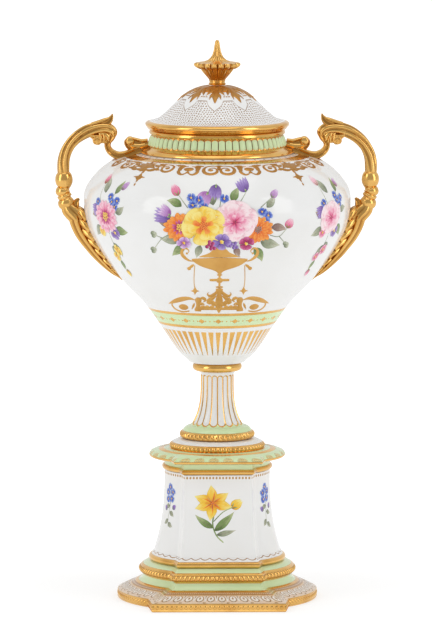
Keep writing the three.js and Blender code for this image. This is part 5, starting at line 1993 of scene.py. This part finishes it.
def paint_lily(bm, lay, seed):
    spray = Spray(bm, lay, seed)
    spray.stem([(-2.5, 60), (-3.5, 52), (-1, 45), (3.5, 40.5)], 0.42, LEAF)
    spray.leaf(-2.8, 50, 158, 15, LEAF, 0.15)
    spray.leaf(-2.6, 48, 36, 18, LEAF, 0.15)
    spray.leaf(-1.2, 45.5, 8, 13, GREY, 0.14)
    spray.stem([(-3, 54), (3, 60), (9, 63)], 0.28, LEAF)
    spray.bud(8.6, 62.6, 38, 8.5, "yellow")
    spray.six_pointed(-3.5, 66, 13.0, "yellow", "orange")
    spray.dots(-3.5, 66, 0.5, 6, 1.3, "orange")


def paint_blue_sprig(bm, lay, seed):
    spray = Spray(bm, lay, seed)
    spray.stem([(0, 74), (0.6, 64), (-0.6, 54), (0, 48)])
    for x, y, angle in ((0.3, 62, 200), (0.3, 58, -18), (-0.4, 53, 222), (0, 51, -40)):
        spray.leaf(x, y, angle, 6.0, GREY)
    for x, y in ((0, 74), (3.2, 71), (-3.0, 70.4), (2.0, 66.6), (-2.4, 66)):
        spray.five_petalled(x, y, 2.9, "blue")
    spray.bud(-3, 59, 150, 4.2, "violet")
    spray.bud(3.6, 60, 40, 4.2, "violet")


def make_pedestal_flowers():
    bm = bmesh.new()
    for side in (1, -1):
        paint_lily(bm, on_panel(side), 20 + side)
    for turn in (62, 118, -62, -118):
        paint_blue_sprig(bm, on_round_side(turn), 30 + turn)
    finish_piece(bm, "painted_pedestal_flowers", ENAMELS, outwards=False)


make_pedestal_flowers()

# %% [markdown]
# ## Steel and cork inside
#
# The rod, nuts and washers that clamp the castings together are plain steel, and the rings between steel
# and porcelain are cut from cork. They could be modelled again, but their castings are already right, so
# they only get their materials.
# %% Hardware
def make_steel():
    material, tree, shader = new_material("turned steel")
    shader.inputs["Metallic"].default_value = 1.0
    streak = grain(tree, 900, 2, (1, 1, 0.06))
    colour = blend_colours(streak, (0.42, 0.42, 0.41, 1), (0.62, 0.62, 0.60, 1))
    feed(shader.inputs["Base Color"], colour)
    feed(shader.inputs["Roughness"], rise(streak, 0.3, 0.7, 0.28, 0.42))
    return material


def make_cork():
    material, tree, shader = new_material("cork sheet")
    colour = blend_colours(grain(tree, 1400, 4), (0.20, 0.10, 0.045, 1), (0.50, 0.30, 0.15, 1))
    feed(shader.inputs["Base Color"], colour)
    shader.inputs["Roughness"].default_value = 0.9
    return material


def dress(names, material):
    """Gives plain castings a material and leaves their shape alone."""
    for name in names:
        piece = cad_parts[name]
        piece.data.materials.clear()
        piece.data.materials.append(material)
        print(name, "is", material.name)


dress(("tie_rod", "upper_nut", "upper_washer", "lower_nut", "lower_washer"), make_steel())
dress(("upper_gasket", "lower_gasket"), make_cork())

# %% [markdown]
# ## The studio
#
# The vase stands on a white table under a white sky, with soft lamps left, right and overhead. One strong
# light would clip the white glaze and hide its roundness. The camera sees table and sky whiter than the
# vase does, so they can be white without adding glare.
# %% Table and sky
def make_floor():
    bm = bmesh.new()
    bmesh.ops.create_grid(bm, x_segments=1, y_segments=1, size=6)
    mesh = bpy.data.meshes.new("table_top")
    bm.to_mesh(mesh)
    bm.free()
    table = bpy.data.objects.new("table_top", mesh)
    bpy.context.scene.collection.objects.link(table)
    material, tree, shader = new_material("white table")
    shader.inputs["Base Color"].default_value = (0.45, 0.45, 0.45, 1)
    shader.inputs["Roughness"].default_value = 0.9
    shader.inputs["Specular IOR Level"].default_value = 0.0
    shader.inputs["Emission Color"].default_value = (1, 1, 1, 1)
    seen = node(tree, "LightPath").outputs["Is Camera Ray"]
    shown = rise(where(tree)[1], 90, 460, 0.62, 0.95)
    feed(shader.inputs["Emission Strength"], blend_numbers(seen, 0.58, shown))
    mesh.materials.append(material)


def make_sky():
    world = bpy.data.worlds.new("white sky")
    bpy.context.scene.world = world
    world.use_nodes = True
    tree = world.node_tree
    background = tree.nodes["Background"]
    background.inputs["Color"].default_value = (1, 1, 1, 1)
    seen = node(tree, "LightPath").outputs["Is Camera Ray"]
    direction = node(tree, "SeparateXYZ")
    tree.links.new(node(tree, "TexCoord").outputs["Generated"], direction.inputs[0])
    # The far side of the room is white, the side behind the camera is darker
    around = rise(direction.outputs[1], -0.9, 0.7, 0.50, 0.82)
    feed(background.inputs["Strength"], blend_numbers(seen, around, 1.0))


make_floor()
make_sky()

# %% [markdown]
# ### Lamps and camera
#
# The lamps are tall and narrow, so each leaves one upright streak on the glaze. A near camera would make
# the upright sides lean, so this one stands four metres back with a long lens and looks slightly down.
# %% Lamps and camera
def aim(holder, target):
    """Turns a lamp or the camera towards a place."""
    holder.rotation_euler = (Vector(target) - holder.location).to_track_quat("-Z", "Y").to_euler()
    bpy.context.scene.collection.objects.link(holder)


def add_lamp(name, place, target, size, power):
    lamp = bpy.data.lights.new(name, "AREA")
    lamp.shape = "RECTANGLE"
    lamp.size, lamp.size_y = size
    lamp.energy = power
    holder = bpy.data.objects.new(name, lamp)
    holder.location = place
    aim(holder, target)
    print(f"{name}: {power} W")


def add_camera():
    camera = bpy.data.cameras.new("camera")
    camera.sensor_fit = "HORIZONTAL"
    camera.sensor_width = 36
    camera.lens = 525
    camera.clip_end = 20
    camera.shift_x = -0.0017
    view = bpy.data.objects.new("camera", camera)
    view.location = (-0.0707, -4.0494, 0.664)
    aim(view, (-0.0003, 0, 0.1797))
    bpy.context.scene.camera = view


add_lamp("left_lamp", (-1.45, -0.95, 0.85), (0, 0, 0.2), (0.62, 1.8), 7.4)
add_lamp("right_lamp", (1.45, -0.95, 0.85), (0, 0, 0.2), (0.62, 1.8), 7.4)
add_lamp("top_lamp", (0, -0.3, 1.9), (0, 0, 0.1), (1.2, 1.2), 4)
add_camera()
bpy.context.scene.view_settings.view_transform = "Standard"
